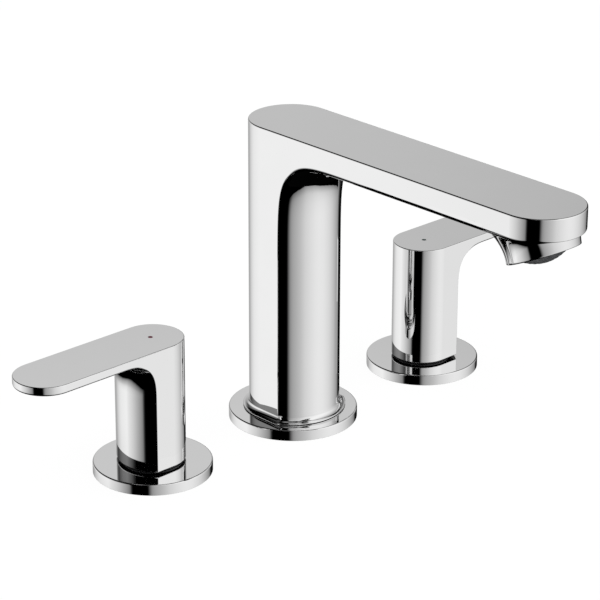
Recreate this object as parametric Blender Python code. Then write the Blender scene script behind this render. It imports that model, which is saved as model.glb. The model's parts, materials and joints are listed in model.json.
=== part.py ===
"""Three-hole basin mixer tap: a spout, two lever handles on ceramic valves, and what clamps them to a deck.

Metres, +Z up. The origin is the centre of the spout's escutcheon, on the deck's upper face.
+X is the user's right (cold water), -Y points over the basin and +Y points to the wall.
"""
import math
from typing import NamedTuple

import bmesh
import bpy
from mathutils import Matrix, Vector

MM = 0.001
TURN = 2 * math.pi

# Fits and cuts
FIT_GAP = 0.3 * MM
INLAY_GAP = 0.15 * MM
CUT_OVERRUN = 1.0 * MM

# Deck and spacing
DECK_THICKNESS = 20.0 * MM
VALVE_SPACING = 160.0 * MM

# Escutcheons and gaskets
SPOUT_PLATE_RADIUS = 27.8 * MM
VALVE_PLATE_RADIUS = 25.0 * MM
PLATE_THICKNESS = 4.3 * MM
PLATE_EDGE_ROUND = 0.4 * MM
PLATE_LIP_THICKNESS = 1.1 * MM
GASKET_RIM_INSET = 1.8 * MM
GASKET_WIDTH = 3.4 * MM
GASKET_HEIGHT = 1.2 * MM

# Spout body
SPOUT_HALF_WIDTH = 17.8 * MM
SPOUT_REAR_OFFSET = 1.15 * MM
SPOUT_CORNER = 9.4 * MM
SPOUT_FRONT = 20.0 * MM
SPOUT_ARM_THICKNESS = 10.6 * MM
SPOUT_ARCH_SIZE = 58.0 * MM
SPOUT_ARCH_POWER = 6.2
SPOUT_TOP_ROUND = 0.4 * MM
SPOUT_UNDER_ROUND = 1.1 * MM
SPOUT_FOOT_FLARE = 2.6 * MM
SPOUT_FOOT_LIP = 0.4 * MM

# Outlet boss under the arm's tip
OUTLET_REACH = 140.6 * MM
OUTLET_HEIGHT = 115.5 * MM
OUTLET_LEAD = 2.3 * MM
OUTLET_TO_TOP = 19.7 * MM
OUTLET_TILT = math.radians(25.6)
OUTLET_RADIUS = 14.75 * MM
OUTLET_BACK_FLARE = 12.0 * MM
OUTLET_SIDE_FLARE = 1.2 * MM

# Waterway inside the spout
WATER_RISER_RADIUS = 8.0 * MM
WATER_CHANNEL_WIDTH = 14.0 * MM
WATER_CHANNEL_HEIGHT = 5.6 * MM
WATER_CHANNEL_ROOF = 2.3 * MM
WATER_DROP_RADIUS = 6.0 * MM

# Aerator, measured along the tilted outlet axis from the boss's rim
AERATOR_RECESS_RADIUS = 11.6 * MM
AERATOR_RECESS_DEPTH = 10.2 * MM
AERATOR_RING_RADIUS = 8.5 * MM
AERATOR_RING_SKIRT = 1.2 * MM
AERATOR_FACE_RADIUS = 10.2 * MM
AERATOR_FACE_PROUD = 1.9 * MM
AERATOR_FACE_SLOPE = 0.9 * MM
AERATOR_FACE_DEPTH = 1.0 * MM
AERATOR_SCREEN_THICKNESS = 0.6 * MM
AERATOR_SCREEN_DEPTH = 6.9 * MM
AERATOR_SCREEN_HOLE = 1.1 * MM
AERATOR_SCREEN_PITCH = 3.1 * MM
SCREEN_ROWS = 2
AERATOR_SEAL_THICKNESS = 1.2 * MM
AERATOR_SEAL_WIDTH = 2.4 * MM
AERATOR_JET_RADIUS = 0.8 * MM
AERATOR_JET_CIRCLE = 5.4 * MM
AERATOR_JETS = 10

# Spout shank, pin and tee
SHANK_RADIUS = 12.0 * MM
SHANK_WALL = 4.5 * MM
SHANK_ENTRY = 26.0 * MM
SHANK_DROP = 62.0 * MM
SHANK_RING_DEPTH = 5.0 * MM
SEAL_CORD = 1.6 * MM
PIN_RADIUS = 1.4 * MM
PIN_LENGTH = 7.0 * MM
PIN_ENTRY = 2.2 * MM
TEE_WALL = 3.2 * MM
TEE_SOCKET_DEPTH = 12.0 * MM
TEE_SEAL_THICKNESS = 1.4 * MM
TEE_BRANCH_DROP = 10.0 * MM
TEE_FLOOR = 6.0 * MM
BRANCH_SUMP = 1.5 * MM

# Threaded ends for hoses
NIPPLE_RADIUS = 8.3 * MM
NIPPLE_BORE_RADIUS = 5.5 * MM
NIPPLE_LENGTH = 13.0 * MM

# Clamp parts under the deck
WASHER_WIDTH = 7.5 * MM
RUBBER_WASHER_THICKNESS = 2.0 * MM
STEEL_WASHER_THICKNESS = 1.2 * MM
NUT_WIDTH = 8.5 * MM
NUT_HEIGHT = 8.0 * MM

# Lever handles
LEVER_HALF_WIDTH = 13.27 * MM
LEVER_REACH = 54.6 * MM
LEVER_REAR_OFFSET = 0.35 * MM
LEVER_CORNER = 8.5 * MM
LEVER_FRONT = 13.3 * MM
LEVER_TOP = 59.7 * MM
LEVER_THICKNESS = 3.9 * MM
LEVER_ARCH_SIZE = 18.0 * MM
LEVER_ARCH_POWER = 3.1
LEVER_TOP_ROUND = 0.3 * MM
LEVER_UNDER_ROUND = 0.8 * MM
LEVER_FOOT_ROUND = 0.3 * MM
HANDLE_CAVITY_RADIUS = 10.6 * MM
HANDLE_CROWN = 13.7 * MM
DOT_RADIUS = 1.2 * MM
DOT_THICKNESS = 0.6 * MM

# Ring in the gap between a handle and its escutcheon
GLIDE_RING_RADIUS = 12.3 * MM
GLIDE_RING_HEIGHT = 0.85 * MM

# Snap insert in the handle
INSERT_HEIGHT = 21.7 * MM
INSERT_SOCKET_DEPTH = 17.0 * MM

# Ceramic cartridge; drops are measured down from the valve body's top face
CARTRIDGE_HEX_RADIUS = 9.8 * MM
CARTRIDGE_HEX_HEIGHT = 8.8 * MM
CARTRIDGE_NECK_RADIUS = 6.6 * MM
CARTRIDGE_NECK_HEIGHT = 10.0 * MM
CARTRIDGE_THREAD_LENGTH = 4.2 * MM
CARTRIDGE_BARREL_RADIUS = 8.2 * MM
CARTRIDGE_CHAMBER_RADIUS = 7.6 * MM
CARTRIDGE_WINDOW_WIDTH = 6.0 * MM
SPINDLE_RADIUS = 3.6 * MM
SPINDLE_SPLINE_RADIUS = 4.0 * MM
SPINDLE_SPLINES = 12
SPINDLE_BAR_LENGTH = 12.0 * MM
SPINDLE_BAR_WIDTH = 2.4 * MM
SPINDLE_BAR_HEIGHT = 3.0 * MM
SPINDLE_BAR_BITE = 1.2 * MM
CLIP_THICKNESS = 0.8 * MM
CLIP_GROOVE_DEPTH = 0.7 * MM
CLIP_WIDTH = 1.7 * MM
CLIP_OPENING = math.radians(60)
SPINDLE_RING_HEIGHT = 11.0 * MM
SPINDLE_RING_CORD = 1.3 * MM
DISC_THICKNESS = 2.3 * MM
DISC_PORT_RADIUS = 2.1 * MM
DISC_PORT_CIRCLE = 4.2 * MM
SEAT_SEAL_THICKNESS = 1.4 * MM
SEAT_SEAL_WIDTH = 0.9 * MM

# Valve body, its screwed-in inlet nipple and its riser tube
VALVE_SHANK_RADIUS = 13.0 * MM
VALVE_BORE_RADIUS = 9.3 * MM
VALVE_SHANK_DROP = 36.0 * MM
VALVE_BLOCK_RADIUS = 15.0 * MM
VALVE_BLOCK_HEIGHT = 26.0 * MM
VALVE_FLOOR = 8.0 * MM
INLET_STUB_RADIUS = 7.2 * MM
INLET_HEXAGON_RADIUS = 10.4 * MM
INLET_HEXAGON_HEIGHT = 4.0 * MM
RISER_RADIUS = 5.2 * MM
RISER_BORE_RADIUS = 3.9 * MM
RISER_FLANGE_RADIUS = 7.9 * MM
RISER_FLANGE_THICKNESS = 1.8 * MM
RISER_ENTRY = 6.0 * MM

# Facets
LARGE_SEGMENTS = 28
ROUND_SEGMENTS = 20
SMALL_SEGMENTS = 12
REAR_SEGMENTS = 12
FRONT_SEGMENTS = 8
ARCH_STEPS = 9
FLARE_STEPS = 3
BOSS_SEGMENTS = 24
BOSS_STEPS = 4
EDGE_STEPS = 2
HOLE_SEGMENTS = 8
CORD_SEGMENTS = 6
HEXAGON_SIDES = 6
SMOOTH_ANGLE = math.radians(35)
HALF_FACET = (0, 0, TURN / LARGE_SEGMENTS / 2)

# Lengths and levels that several pieces share
DECK_UNDERSIDE = -DECK_THICKNESS
SPOUT_FOOT = PLATE_THICKNESS + FIT_GAP
SPOUT_REACH = OUTLET_REACH - OUTLET_LEAD
SPOUT_TOP = OUTLET_HEIGHT + OUTLET_TO_TOP
SPOUT_UNDERSIDE = SPOUT_TOP - SPOUT_ARM_THICKNESS
SHANK_BORE_RADIUS = SHANK_RADIUS - SHANK_WALL
TEE_RADIUS = SHANK_RADIUS + FIT_GAP + TEE_WALL
PIN_OFFSET = (SHANK_RADIUS + FIT_GAP + SPOUT_HALF_WIDTH + SPOUT_REAR_OFFSET) / 2
LEVER_UNDERSIDE = LEVER_TOP - LEVER_THICKNESS
GLIDE_RING_FOOT = PLATE_THICKNESS + FIT_GAP
HANDLE_FOOT = GLIDE_RING_FOOT + GLIDE_RING_HEIGHT + FIT_GAP
CAVITY_TOP = LEVER_TOP - HANDLE_CROWN
INSERT_TOP = CAVITY_TOP - FIT_GAP
INSERT_FOOT = INSERT_TOP - INSERT_HEIGHT
SPINDLE_TOP = INSERT_FOOT + INSERT_SOCKET_DEPTH - FIT_GAP
VALVE_TOP = PLATE_THICKNESS - PLATE_LIP_THICKNESS - FIT_GAP
HEX_FOOT = VALVE_TOP + FIT_GAP
HEX_TOP = HEX_FOOT + CARTRIDGE_HEX_HEIGHT
NECK_TOP = HEX_TOP + CARTRIDGE_NECK_HEIGHT
THREAD_FOOT = VALVE_TOP - CARTRIDGE_THREAD_LENGTH
BAR_TOP = THREAD_FOOT - FIT_GAP
BAR_FOOT = BAR_TOP - SPINDLE_BAR_HEIGHT
DISC_TOP = BAR_FOOT + SPINDLE_BAR_BITE
FIXED_DISC_TOP = DISC_TOP - DISC_THICKNESS - FIT_GAP
SEAT_TOP = FIXED_DISC_TOP - DISC_THICKNESS - FIT_GAP
CARTRIDGE_FOOT = SEAT_TOP - SEAT_SEAL_THICKNESS
RISER_TOP = CARTRIDGE_FOOT - FIT_GAP
VALVE_BLOCK_TOP = VALVE_TOP - VALVE_SHANK_DROP
VALVE_BLOCK_FOOT = VALVE_BLOCK_TOP - VALVE_BLOCK_HEIGHT
VALVE_BORE_FOOT = VALVE_BLOCK_FOOT + VALVE_FLOOR
RISER_FOOT = VALVE_BORE_FOOT - RISER_ENTRY
CLIP_FOOT = NECK_TOP + FIT_GAP
SHANK_TOP = SPOUT_FOOT + SHANK_ENTRY
SHANK_FOOT = -SHANK_DROP
TEE_SEAL_TOP = SHANK_FOOT - FIT_GAP
TEE_SOCKET_FLOOR = TEE_SEAL_TOP - TEE_SEAL_THICKNESS - FIT_GAP
TEE_TOP = SHANK_FOOT + TEE_SOCKET_DEPTH
TEE_BRANCH_LEVEL = TEE_SOCKET_FLOOR - TEE_BRANCH_DROP
TEE_BORE_FOOT = TEE_BRANCH_LEVEL - NIPPLE_BORE_RADIUS - BRANCH_SUMP
CHANNEL_TOP = SPOUT_TOP - WATER_CHANNEL_ROOF
CHANNEL_LEVEL = CHANNEL_TOP - WATER_CHANNEL_HEIGHT / 2

FINISHES = {
    "chrome": ((0.86, 0.87, 0.88), 0.05, 1.0),
    "brass": ((0.72, 0.56, 0.30), 0.32, 1.0),
    "steel": ((0.62, 0.62, 0.61), 0.35, 1.0),
    "rubber": ((0.025, 0.025, 0.027), 0.75, 0.0),
    "dark_plastic": ((0.03, 0.03, 0.032), 0.45, 0.0),
    "grey_plastic": ((0.16, 0.16, 0.165), 0.5, 0.0),
    "white_plastic": ((0.82, 0.81, 0.78), 0.45, 0.0),
    "ceramic": ((0.80, 0.78, 0.74), 0.25, 0.0),
    "copper": ((0.80, 0.46, 0.32), 0.30, 1.0),
    "red_enamel": ((0.70, 0.03, 0.05), 0.30, 0.0),
    "blue_enamel": ((0.02, 0.14, 0.30), 0.30, 0.0),
}


class Lever(NamedTuple):
    """A column that arches over into a flat arm with a round tip; the arm points along -Y."""
    half_width: float
    reach: float
    rear_offset: float
    corner: float
    front: float
    foot: float
    underside: float
    top: float
    arch_size: float
    arch_power: float
    top_round: float
    under_round: float


SPOUT = Lever(SPOUT_HALF_WIDTH, SPOUT_REACH, SPOUT_REAR_OFFSET, SPOUT_CORNER, SPOUT_FRONT, SPOUT_FOOT,
              SPOUT_UNDERSIDE, SPOUT_TOP, SPOUT_ARCH_SIZE, SPOUT_ARCH_POWER, SPOUT_TOP_ROUND,
              SPOUT_UNDER_ROUND)
HANDLE = Lever(LEVER_HALF_WIDTH, LEVER_REACH, LEVER_REAR_OFFSET, LEVER_CORNER, LEVER_FRONT, HANDLE_FOOT,
               LEVER_UNDERSIDE, LEVER_TOP, LEVER_ARCH_SIZE, LEVER_ARCH_POWER, LEVER_TOP_ROUND,
               LEVER_UNDER_ROUND)


def clear_scene():
    for item in list(bpy.data.objects):
        bpy.data.objects.remove(item, do_unlink=True)


def finish_material(finish):
    """The shared Principled material of one finish."""
    if finish in bpy.data.materials:
        return bpy.data.materials[finish]
    colour, roughness, metallic = FINISHES[finish]
    material = bpy.data.materials.new(finish)
    material.use_nodes = True
    shader = material.node_tree.nodes["Principled BSDF"]
    shader.inputs["Base Color"].default_value = (*colour, 1.0)
    shader.inputs["Roughness"].default_value = roughness
    shader.inputs["Metallic"].default_value = metallic
    return material


def add_object(name, bm, finish, parent=None):
    """Turn a bmesh into a smooth-shaded object with its material, placed under its parent."""
    bmesh.ops.recalc_face_normals(bm, faces=bm.faces)
    mesh = bpy.data.meshes.new(name)
    bm.to_mesh(mesh)
    bm.free()
    mesh.shade_smooth()
    mesh.set_sharp_from_angle(angle=SMOOTH_ANGLE)
    item = bpy.data.objects.new(name, mesh)
    bpy.context.collection.objects.link(item)
    item.parent = parent
    if finish:
        mesh.materials.append(finish_material(finish))
    return item


def add_empty(name, location, parent=None, tilt=0.0):
    item = bpy.data.objects.new(name, None)
    bpy.context.collection.objects.link(item)
    item.parent = parent
    item.location = location
    item.rotation_euler = (tilt, 0, 0)
    return item


def boolean(target, tool, operation):
    """Cut or join with a hidden tool object, which follows its target."""
    tool.display_type = 'WIRE'
    tool.hide_render = True
    modifier = target.modifiers.new(tool.name, 'BOOLEAN')
    modifier.operation = operation
    modifier.solver = 'EXACT'
    modifier.object = tool


def cut(target, *tools):
    for tool in tools:
        boolean(target, tool, 'DIFFERENCE')


def join(target, *tools):
    for tool in tools:
        boolean(target, tool, 'UNION')


def turned_bmesh(profile, segments):
    """Spin a closed (radius, height) outline about Z; points on the axis are welded."""
    bm = bmesh.new()
    corners = [bm.verts.new((radius, 0, height)) for radius, height in profile]
    edges = [bm.edges.new((corners[i - 1], corners[i])) for i in range(len(corners))]
    bmesh.ops.spin(bm, geom=corners + edges, cent=(0, 0, 0), axis=(0, 0, 1), angle=TURN,
                   steps=segments, use_merge=True)
    weld = min(radius for radius, height in profile if radius > 0) / (segments * segments)
    bmesh.ops.remove_doubles(bm, verts=bm.verts, dist=min(weld, FIT_GAP / segments))
    bmesh.ops.dissolve_degenerate(bm, edges=bm.edges, dist=FIT_GAP / segments ** 2)
    return bm


def turned(name, profile, finish=None, parent=None, segments=ROUND_SEGMENTS):
    return add_object(name, turned_bmesh(profile, segments), finish, parent)


def disc_profile(radius, foot, top):
    return [(0, foot), (radius, foot), (radius, top), (0, top)]


def ring_profile(inner, outer, foot, top):
    return [(inner, foot), (outer, foot), (outer, top), (inner, top)]


def seal_profile(inner, cord, centre):
    """Round section of an O-ring whose inner radius is given."""
    middle = inner + cord / 2
    angles = [TURN * i / CORD_SEGMENTS for i in range(CORD_SEGMENTS)]
    return [(middle + cord / 2 * math.cos(a), centre + cord / 2 * math.sin(a)) for a in angles]


def block(name, low, high, finish=None, parent=None):
    """A box between two opposite corners."""
    bm = bmesh.new()
    bmesh.ops.create_cube(bm, size=1.0)
    low, high = Vector(low), Vector(high)
    size = high - low
    bmesh.ops.scale(bm, vec=size, verts=bm.verts)
    bmesh.ops.translate(bm, vec=(low + high) / 2, verts=bm.verts)
    return add_object(name, bm, finish, parent)


def lay_along_x(item, direction, height):
    """Point a turned piece's axis along +X or -X at a height."""
    item.rotation_euler = (0, direction * math.pi / 2, 0)
    item.location = (0, 0, height)
    return item


def lever_outline(lever, offset, shift):
    """Plan outline, counter-clockwise: round back, flat sides and a convex front pushed forward by shift."""
    width = lever.half_width + offset
    sagitta = lever.front - lever.corner
    front_radius = (lever.half_width ** 2 + sagitta ** 2) / (2 * sagitta)
    front_centre = front_radius - lever.front - shift
    front_radius += offset
    half_angle = math.asin(width / front_radius)
    points = []
    for i in range(REAR_SEGMENTS + 1):
        angle = math.pi * i / REAR_SEGMENTS
        points.append((width * math.cos(angle), lever.rear_offset + width * math.sin(angle)))
    for i in range(FRONT_SEGMENTS + 1):
        angle = half_angle * (2 * i / FRONT_SEGMENTS - 1)
        points.append((front_radius * math.sin(angle), front_centre - front_radius * math.cos(angle)))
    return points


def arch_curve(lever):
    """Forward shift and height of the column's front, from the straight part up to the arm's underside."""
    curve = []
    for i in range(ARCH_STEPS + 1):
        angle = math.pi / 4 * (1 - math.cos(math.pi * i / ARCH_STEPS))
        shift = lever.arch_size * (1 - max(math.cos(angle), 0) ** (2 / lever.arch_power))
        drop = lever.arch_size * (1 - math.sin(angle) ** (2 / lever.arch_power))
        curve.append((shift, lever.underside - drop))
    return curve


def lever_bmesh(lever, foot_steps):
    """Column, arch and arm as one closed mesh. foot_steps lists (height above the foot, outward offset)."""
    bm = bmesh.new()
    levels = [(offset, 0, lever.foot + rise) for rise, offset in foot_steps]
    levels += [(0, shift, height) for shift, height in arch_curve(lever)]
    rings = []
    for offset, shift, height in levels:
        rings.append([bm.verts.new((x, y, height)) for x, y in lever_outline(lever, offset, shift)])
    for lower, upper in zip(rings, rings[1:]):
        for i in range(len(lower)):
            bm.faces.new((lower[i - 1], lower[i], upper[i], upper[i - 1]))
    bm.faces.new(reversed(rings[0]))

    last = rings[-1]
    rear = last[:REAR_SEGMENTS + 1]
    front = last[REAR_SEGMENTS + 1:]
    tip = []
    for i in range(REAR_SEGMENTS + 1):
        angle = math.pi + math.pi * i / REAR_SEGMENTS
        tip.append(bm.verts.new((lever.half_width * math.cos(angle),
                                 -lever.reach + lever.half_width * math.sin(angle), lever.underside)))
    bm.faces.new(tip[::-1] + front)
    rim = rear + [front[0]] + tip + [front[-1]]
    crown = [bm.verts.new((v.co.x, v.co.y, lever.top)) for v in rim]
    for i in range(len(rim)):
        bm.faces.new((rim[i - 1], rim[i], crown[i], crown[i - 1]))
    bm.faces.new(crown)
    crown_edges = [bm.edges.get((crown[i - 1], crown[i])) for i in range(len(crown))]
    tip_edges = [bm.edges.get((tip[i - 1], tip[i])) for i in range(1, len(tip))]
    bmesh.ops.bevel(bm, geom=crown_edges, offset=lever.top_round, segments=1, affect='EDGES')
    bmesh.ops.bevel(bm, geom=tip_edges, offset=lever.under_round, segments=EDGE_STEPS, affect='EDGES')
    return bm


def spout_foot_steps():
    """A concave flare that spreads the column over its escutcheon."""
    steps = [(0, SPOUT_FOOT_FLARE)]
    for i in range(FLARE_STEPS + 1):
        angle = math.pi / 2 * i / FLARE_STEPS
        rise = SPOUT_FOOT_LIP + SPOUT_FOOT_FLARE * (1 - math.cos(angle))
        steps.append((rise, SPOUT_FOOT_FLARE * (1 - math.sin(angle))))
    return steps


def boss_bmesh():
    """Tilted round outlet that flares backwards into the arm's underside."""
    bm = bmesh.new()
    inward = Vector((0, math.sin(OUTLET_TILT), math.cos(OUTLET_TILT)))
    across = Vector((1, 0, 0))
    back = inward.cross(across)
    centre = Vector((0, -OUTLET_REACH, OUTLET_HEIGHT))
    ceiling = SPOUT_UNDERSIDE + SPOUT_UNDER_ROUND
    rings = []
    for step in range(BOSS_STEPS + 1):
        angle = math.pi / 2 * step / BOSS_STEPS
        ring = []
        for i in range(BOSS_SEGMENTS):
            turn = TURN * i / BOSS_SEGMENTS
            rim = centre + OUTLET_RADIUS * (math.cos(turn) * across + math.sin(turn) * back)
            climb = (ceiling - rim.z) / inward.z * math.sin(angle)
            rearward = max(math.sin(turn), 0)
            flare = OUTLET_SIDE_FLARE + (OUTLET_BACK_FLARE - OUTLET_SIDE_FLARE) * rearward
            if math.sin(turn) < 0:
                flare = OUTLET_SIDE_FLARE * (1 + math.sin(turn))
            spread = flare * (1 - math.cos(angle))
            outward = Vector((math.cos(turn), math.sin(turn), 0))
            ring.append(bm.verts.new(rim + inward * climb + outward * spread))
        rings.append(ring)
    for lower, upper in zip(rings, rings[1:]):
        for i in range(BOSS_SEGMENTS):
            bm.faces.new((lower[i - 1], lower[i], upper[i], upper[i - 1]))
    bm.faces.new(reversed(rings[0]))
    bm.faces.new(rings[-1])
    return bm


def make_spout_body(outlet):
    body = add_object("spout_body", lever_bmesh(SPOUT, spout_foot_steps()), "chrome")
    boss = add_object("outlet_boss_tool", boss_bmesh(), None)
    join(body, boss)
    riser = turned("riser_tool", [
        (0, SPOUT_FOOT - CUT_OVERRUN), (SHANK_RADIUS + FIT_GAP, SPOUT_FOOT - CUT_OVERRUN),
        (SHANK_RADIUS + FIT_GAP, SHANK_TOP + FIT_GAP), (WATER_RISER_RADIUS, SHANK_TOP + FIT_GAP),
        (WATER_RISER_RADIUS, CHANNEL_LEVEL), (0, CHANNEL_LEVEL)], segments=LARGE_SEGMENTS)
    channel_end = OUTLET_REACH - AERATOR_RECESS_DEPTH * math.sin(OUTLET_TILT)
    channel_foot = CHANNEL_TOP - WATER_CHANNEL_HEIGHT
    channel = block("channel_tool", (-WATER_CHANNEL_WIDTH / 2, -channel_end, channel_foot),
                    (WATER_CHANNEL_WIDTH / 2, WATER_RISER_RADIUS / 2, CHANNEL_TOP))
    drop_length = (CHANNEL_LEVEL - OUTLET_HEIGHT) / math.cos(OUTLET_TILT)
    drop = turned("outlet_tool", [
        (0, -CUT_OVERRUN), (AERATOR_RECESS_RADIUS, -CUT_OVERRUN),
        (AERATOR_RECESS_RADIUS, AERATOR_RECESS_DEPTH), (WATER_DROP_RADIUS, AERATOR_RECESS_DEPTH),
        (WATER_DROP_RADIUS, drop_length), (0, drop_length)],
        parent=outlet, segments=LARGE_SEGMENTS)
    pin_depth = PIN_LENGTH - PIN_ENTRY + FIT_GAP
    pin_hole = turned("pin_hole_tool", disc_profile(PIN_RADIUS + FIT_GAP, -CUT_OVERRUN, pin_depth),
                      segments=SMALL_SEGMENTS)
    pin_hole.location = (0, PIN_OFFSET, SPOUT_FOOT)
    cut(body, riser, channel, drop, pin_hole)


def hole_tool(name, radius, places, foot, top, parent):
    """Small round cutters standing at the given places, as one tool."""
    bm = bmesh.new()
    for x, y in places:
        place = Matrix.Translation((x, y, (foot + top) / 2))
        bmesh.ops.create_cone(bm, cap_ends=True, segments=HOLE_SEGMENTS, radius1=radius, radius2=radius,
                              depth=top - foot, matrix=place)
    return add_object(name, bm, None, parent)


def make_aerator(outlet):
    """Pieces on the tilted outlet axis: heights run inward from the boss's rim."""
    outer = AERATOR_RECESS_RADIUS - FIT_GAP
    seal_top = AERATOR_RECESS_DEPTH - FIT_GAP
    ring_top = seal_top - AERATOR_SEAL_THICKNESS - FIT_GAP
    skirt_inner = AERATOR_FACE_RADIUS + FIT_GAP
    skirt_top = AERATOR_FACE_DEPTH + FIT_GAP
    skirt_foot = skirt_top - AERATOR_RING_SKIRT
    turned("aerator_housing", [
        (AERATOR_RING_RADIUS, skirt_top), (skirt_inner, skirt_top), (skirt_inner, skirt_foot),
        (outer, skirt_foot), (outer, ring_top), (AERATOR_RING_RADIUS, ring_top)],
        "brass", outlet, LARGE_SEGMENTS)
    stem = AERATOR_RING_RADIUS - FIT_GAP
    insert_top = AERATOR_SCREEN_DEPTH - FIT_GAP
    insert = turned("aerator_insert", [
        (0, -AERATOR_FACE_PROUD), (AERATOR_FACE_RADIUS - AERATOR_FACE_SLOPE, -AERATOR_FACE_PROUD),
        (AERATOR_FACE_RADIUS, 0), (AERATOR_FACE_RADIUS, AERATOR_FACE_DEPTH), (stem, AERATOR_FACE_DEPTH),
        (stem, insert_top), (0, insert_top)], "grey_plastic", outlet, LARGE_SEGMENTS)
    circle = [TURN * i / AERATOR_JETS for i in range(AERATOR_JETS)]
    places = [(AERATOR_JET_CIRCLE * math.cos(a), AERATOR_JET_CIRCLE * math.sin(a)) for a in circle]
    cut(insert, hole_tool("jet_tool", AERATOR_JET_RADIUS, places, -AERATOR_FACE_PROUD - CUT_OVERRUN,
                          insert_top + CUT_OVERRUN, outlet))
    screen_top = AERATOR_SCREEN_DEPTH + AERATOR_SCREEN_THICKNESS
    screen = turned("aerator_screen", disc_profile(stem, AERATOR_SCREEN_DEPTH, screen_top), "steel", outlet)
    holes = []
    for row in range(-SCREEN_ROWS, SCREEN_ROWS + 1):
        for column in range(-SCREEN_ROWS, SCREEN_ROWS + 1):
            x = AERATOR_SCREEN_PITCH * (column + row / 2)
            y = AERATOR_SCREEN_PITCH * row * math.sin(math.pi / 3)
            if math.hypot(x, y) < stem - 2 * AERATOR_SCREEN_HOLE:
                holes.append((x, y))
    cut(screen, hole_tool("mesh_tool", AERATOR_SCREEN_HOLE, holes, AERATOR_SCREEN_DEPTH - CUT_OVERRUN,
                          screen_top + CUT_OVERRUN, outlet))
    seal_foot = seal_top - AERATOR_SEAL_THICKNESS
    seal = ring_profile(outer - AERATOR_SEAL_WIDTH, outer, seal_foot, seal_top)
    turned("aerator_seal", seal, "rubber", outlet)


def make_escutcheon(name, radius, hole, lip_hole, finish, parent):
    """Round plate with a rounded upper edge, a gasket groove below and a stepped centre hole."""
    groove_outer = radius - GASKET_RIM_INSET + FIT_GAP
    groove_inner = groove_outer - GASKET_WIDTH - 2 * FIT_GAP
    groove_top = GASKET_HEIGHT + FIT_GAP
    shoulder = PLATE_THICKNESS - PLATE_LIP_THICKNESS
    profile = [(hole, 0), (groove_inner, 0), (groove_inner, groove_top), (groove_outer, groove_top),
               (groove_outer, 0), (radius, 0)]
    for i in range(EDGE_STEPS + 1):
        angle = math.pi / 2 * i / EDGE_STEPS
        profile.append((radius - PLATE_EDGE_ROUND * (1 - math.cos(angle)),
                        PLATE_THICKNESS - PLATE_EDGE_ROUND * (1 - math.sin(angle))))
    profile += [(lip_hole, PLATE_THICKNESS)]
    if lip_hole < hole:
        profile += [(lip_hole, shoulder), (hole, shoulder)]
    return turned(name, profile, finish, parent, LARGE_SEGMENTS)


def make_gasket(name, plate_radius, parent):
    outer = plate_radius - GASKET_RIM_INSET
    profile = ring_profile(outer - GASKET_WIDTH, outer, 0, GASKET_HEIGHT)
    turned(name, profile, "rubber", parent, LARGE_SEGMENTS)


def make_clamp(prefix, shank_radius, parent):
    """Rubber washer against the deck's underside, then the steel washer and the lock nut."""
    inner = shank_radius + FIT_GAP
    rubber_foot = DECK_UNDERSIDE - RUBBER_WASHER_THICKNESS
    steel_top = rubber_foot - FIT_GAP
    steel_foot = steel_top - STEEL_WASHER_THICKNESS
    nut_top = steel_foot - FIT_GAP
    outer = shank_radius + WASHER_WIDTH
    nut_foot = nut_top - NUT_HEIGHT
    rubber = ring_profile(inner, outer, rubber_foot, DECK_UNDERSIDE)
    steel = ring_profile(inner, outer, steel_foot, steel_top)
    turned(prefix + "_rubber_washer", rubber, "rubber", parent)
    turned(prefix + "_steel_washer", steel, "steel", parent)
    nut = turned(prefix + "_lock_nut", disc_profile(shank_radius + NUT_WIDTH, nut_foot, nut_top),
                 "brass", parent, HEXAGON_SIDES)
    bore = turned(prefix + "_nut_bore_tool",
                  disc_profile(inner, nut_foot - CUT_OVERRUN, nut_top + CUT_OVERRUN), parent=parent)
    cut(nut, bore)


def make_spout_fixings():
    plate = make_escutcheon("spout_escutcheon", SPOUT_PLATE_RADIUS, SHANK_RADIUS + FIT_GAP,
                            SHANK_RADIUS + FIT_GAP, "chrome", None)
    pin_foot = SPOUT_FOOT - PIN_ENTRY
    pin_hole = turned("plate_pin_tool", disc_profile(PIN_RADIUS + FIT_GAP, pin_foot - FIT_GAP,
                                                     PLATE_THICKNESS + CUT_OVERRUN),
                      segments=SMALL_SEGMENTS)
    pin_hole.location = (0, PIN_OFFSET, 0)
    cut(plate, pin_hole)
    pin = turned("spout_locating_pin", disc_profile(PIN_RADIUS, pin_foot, pin_foot + PIN_LENGTH), "steel",
                 segments=SMALL_SEGMENTS)
    pin.location = (0, PIN_OFFSET, 0)
    make_gasket("spout_gasket", SPOUT_PLATE_RADIUS, None)

    ring_level = SHANK_TOP - SHANK_RING_DEPTH
    groove = SHANK_RADIUS - SEAL_CORD
    half_groove = SEAL_CORD / 2 + FIT_GAP
    turned("spout_shank", [
        (SHANK_BORE_RADIUS, SHANK_FOOT), (SHANK_RADIUS, SHANK_FOOT),
        (SHANK_RADIUS, ring_level - half_groove), (groove, ring_level - half_groove),
        (groove, ring_level + half_groove),
        (SHANK_RADIUS, ring_level + half_groove), (SHANK_RADIUS, SHANK_TOP), (SHANK_BORE_RADIUS, SHANK_TOP)],
        "brass", segments=LARGE_SEGMENTS)
    turned("spout_oring", seal_profile(groove + INLAY_GAP, SEAL_CORD, ring_level), "rubber")
    make_clamp("spout", SHANK_RADIUS, None)


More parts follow.
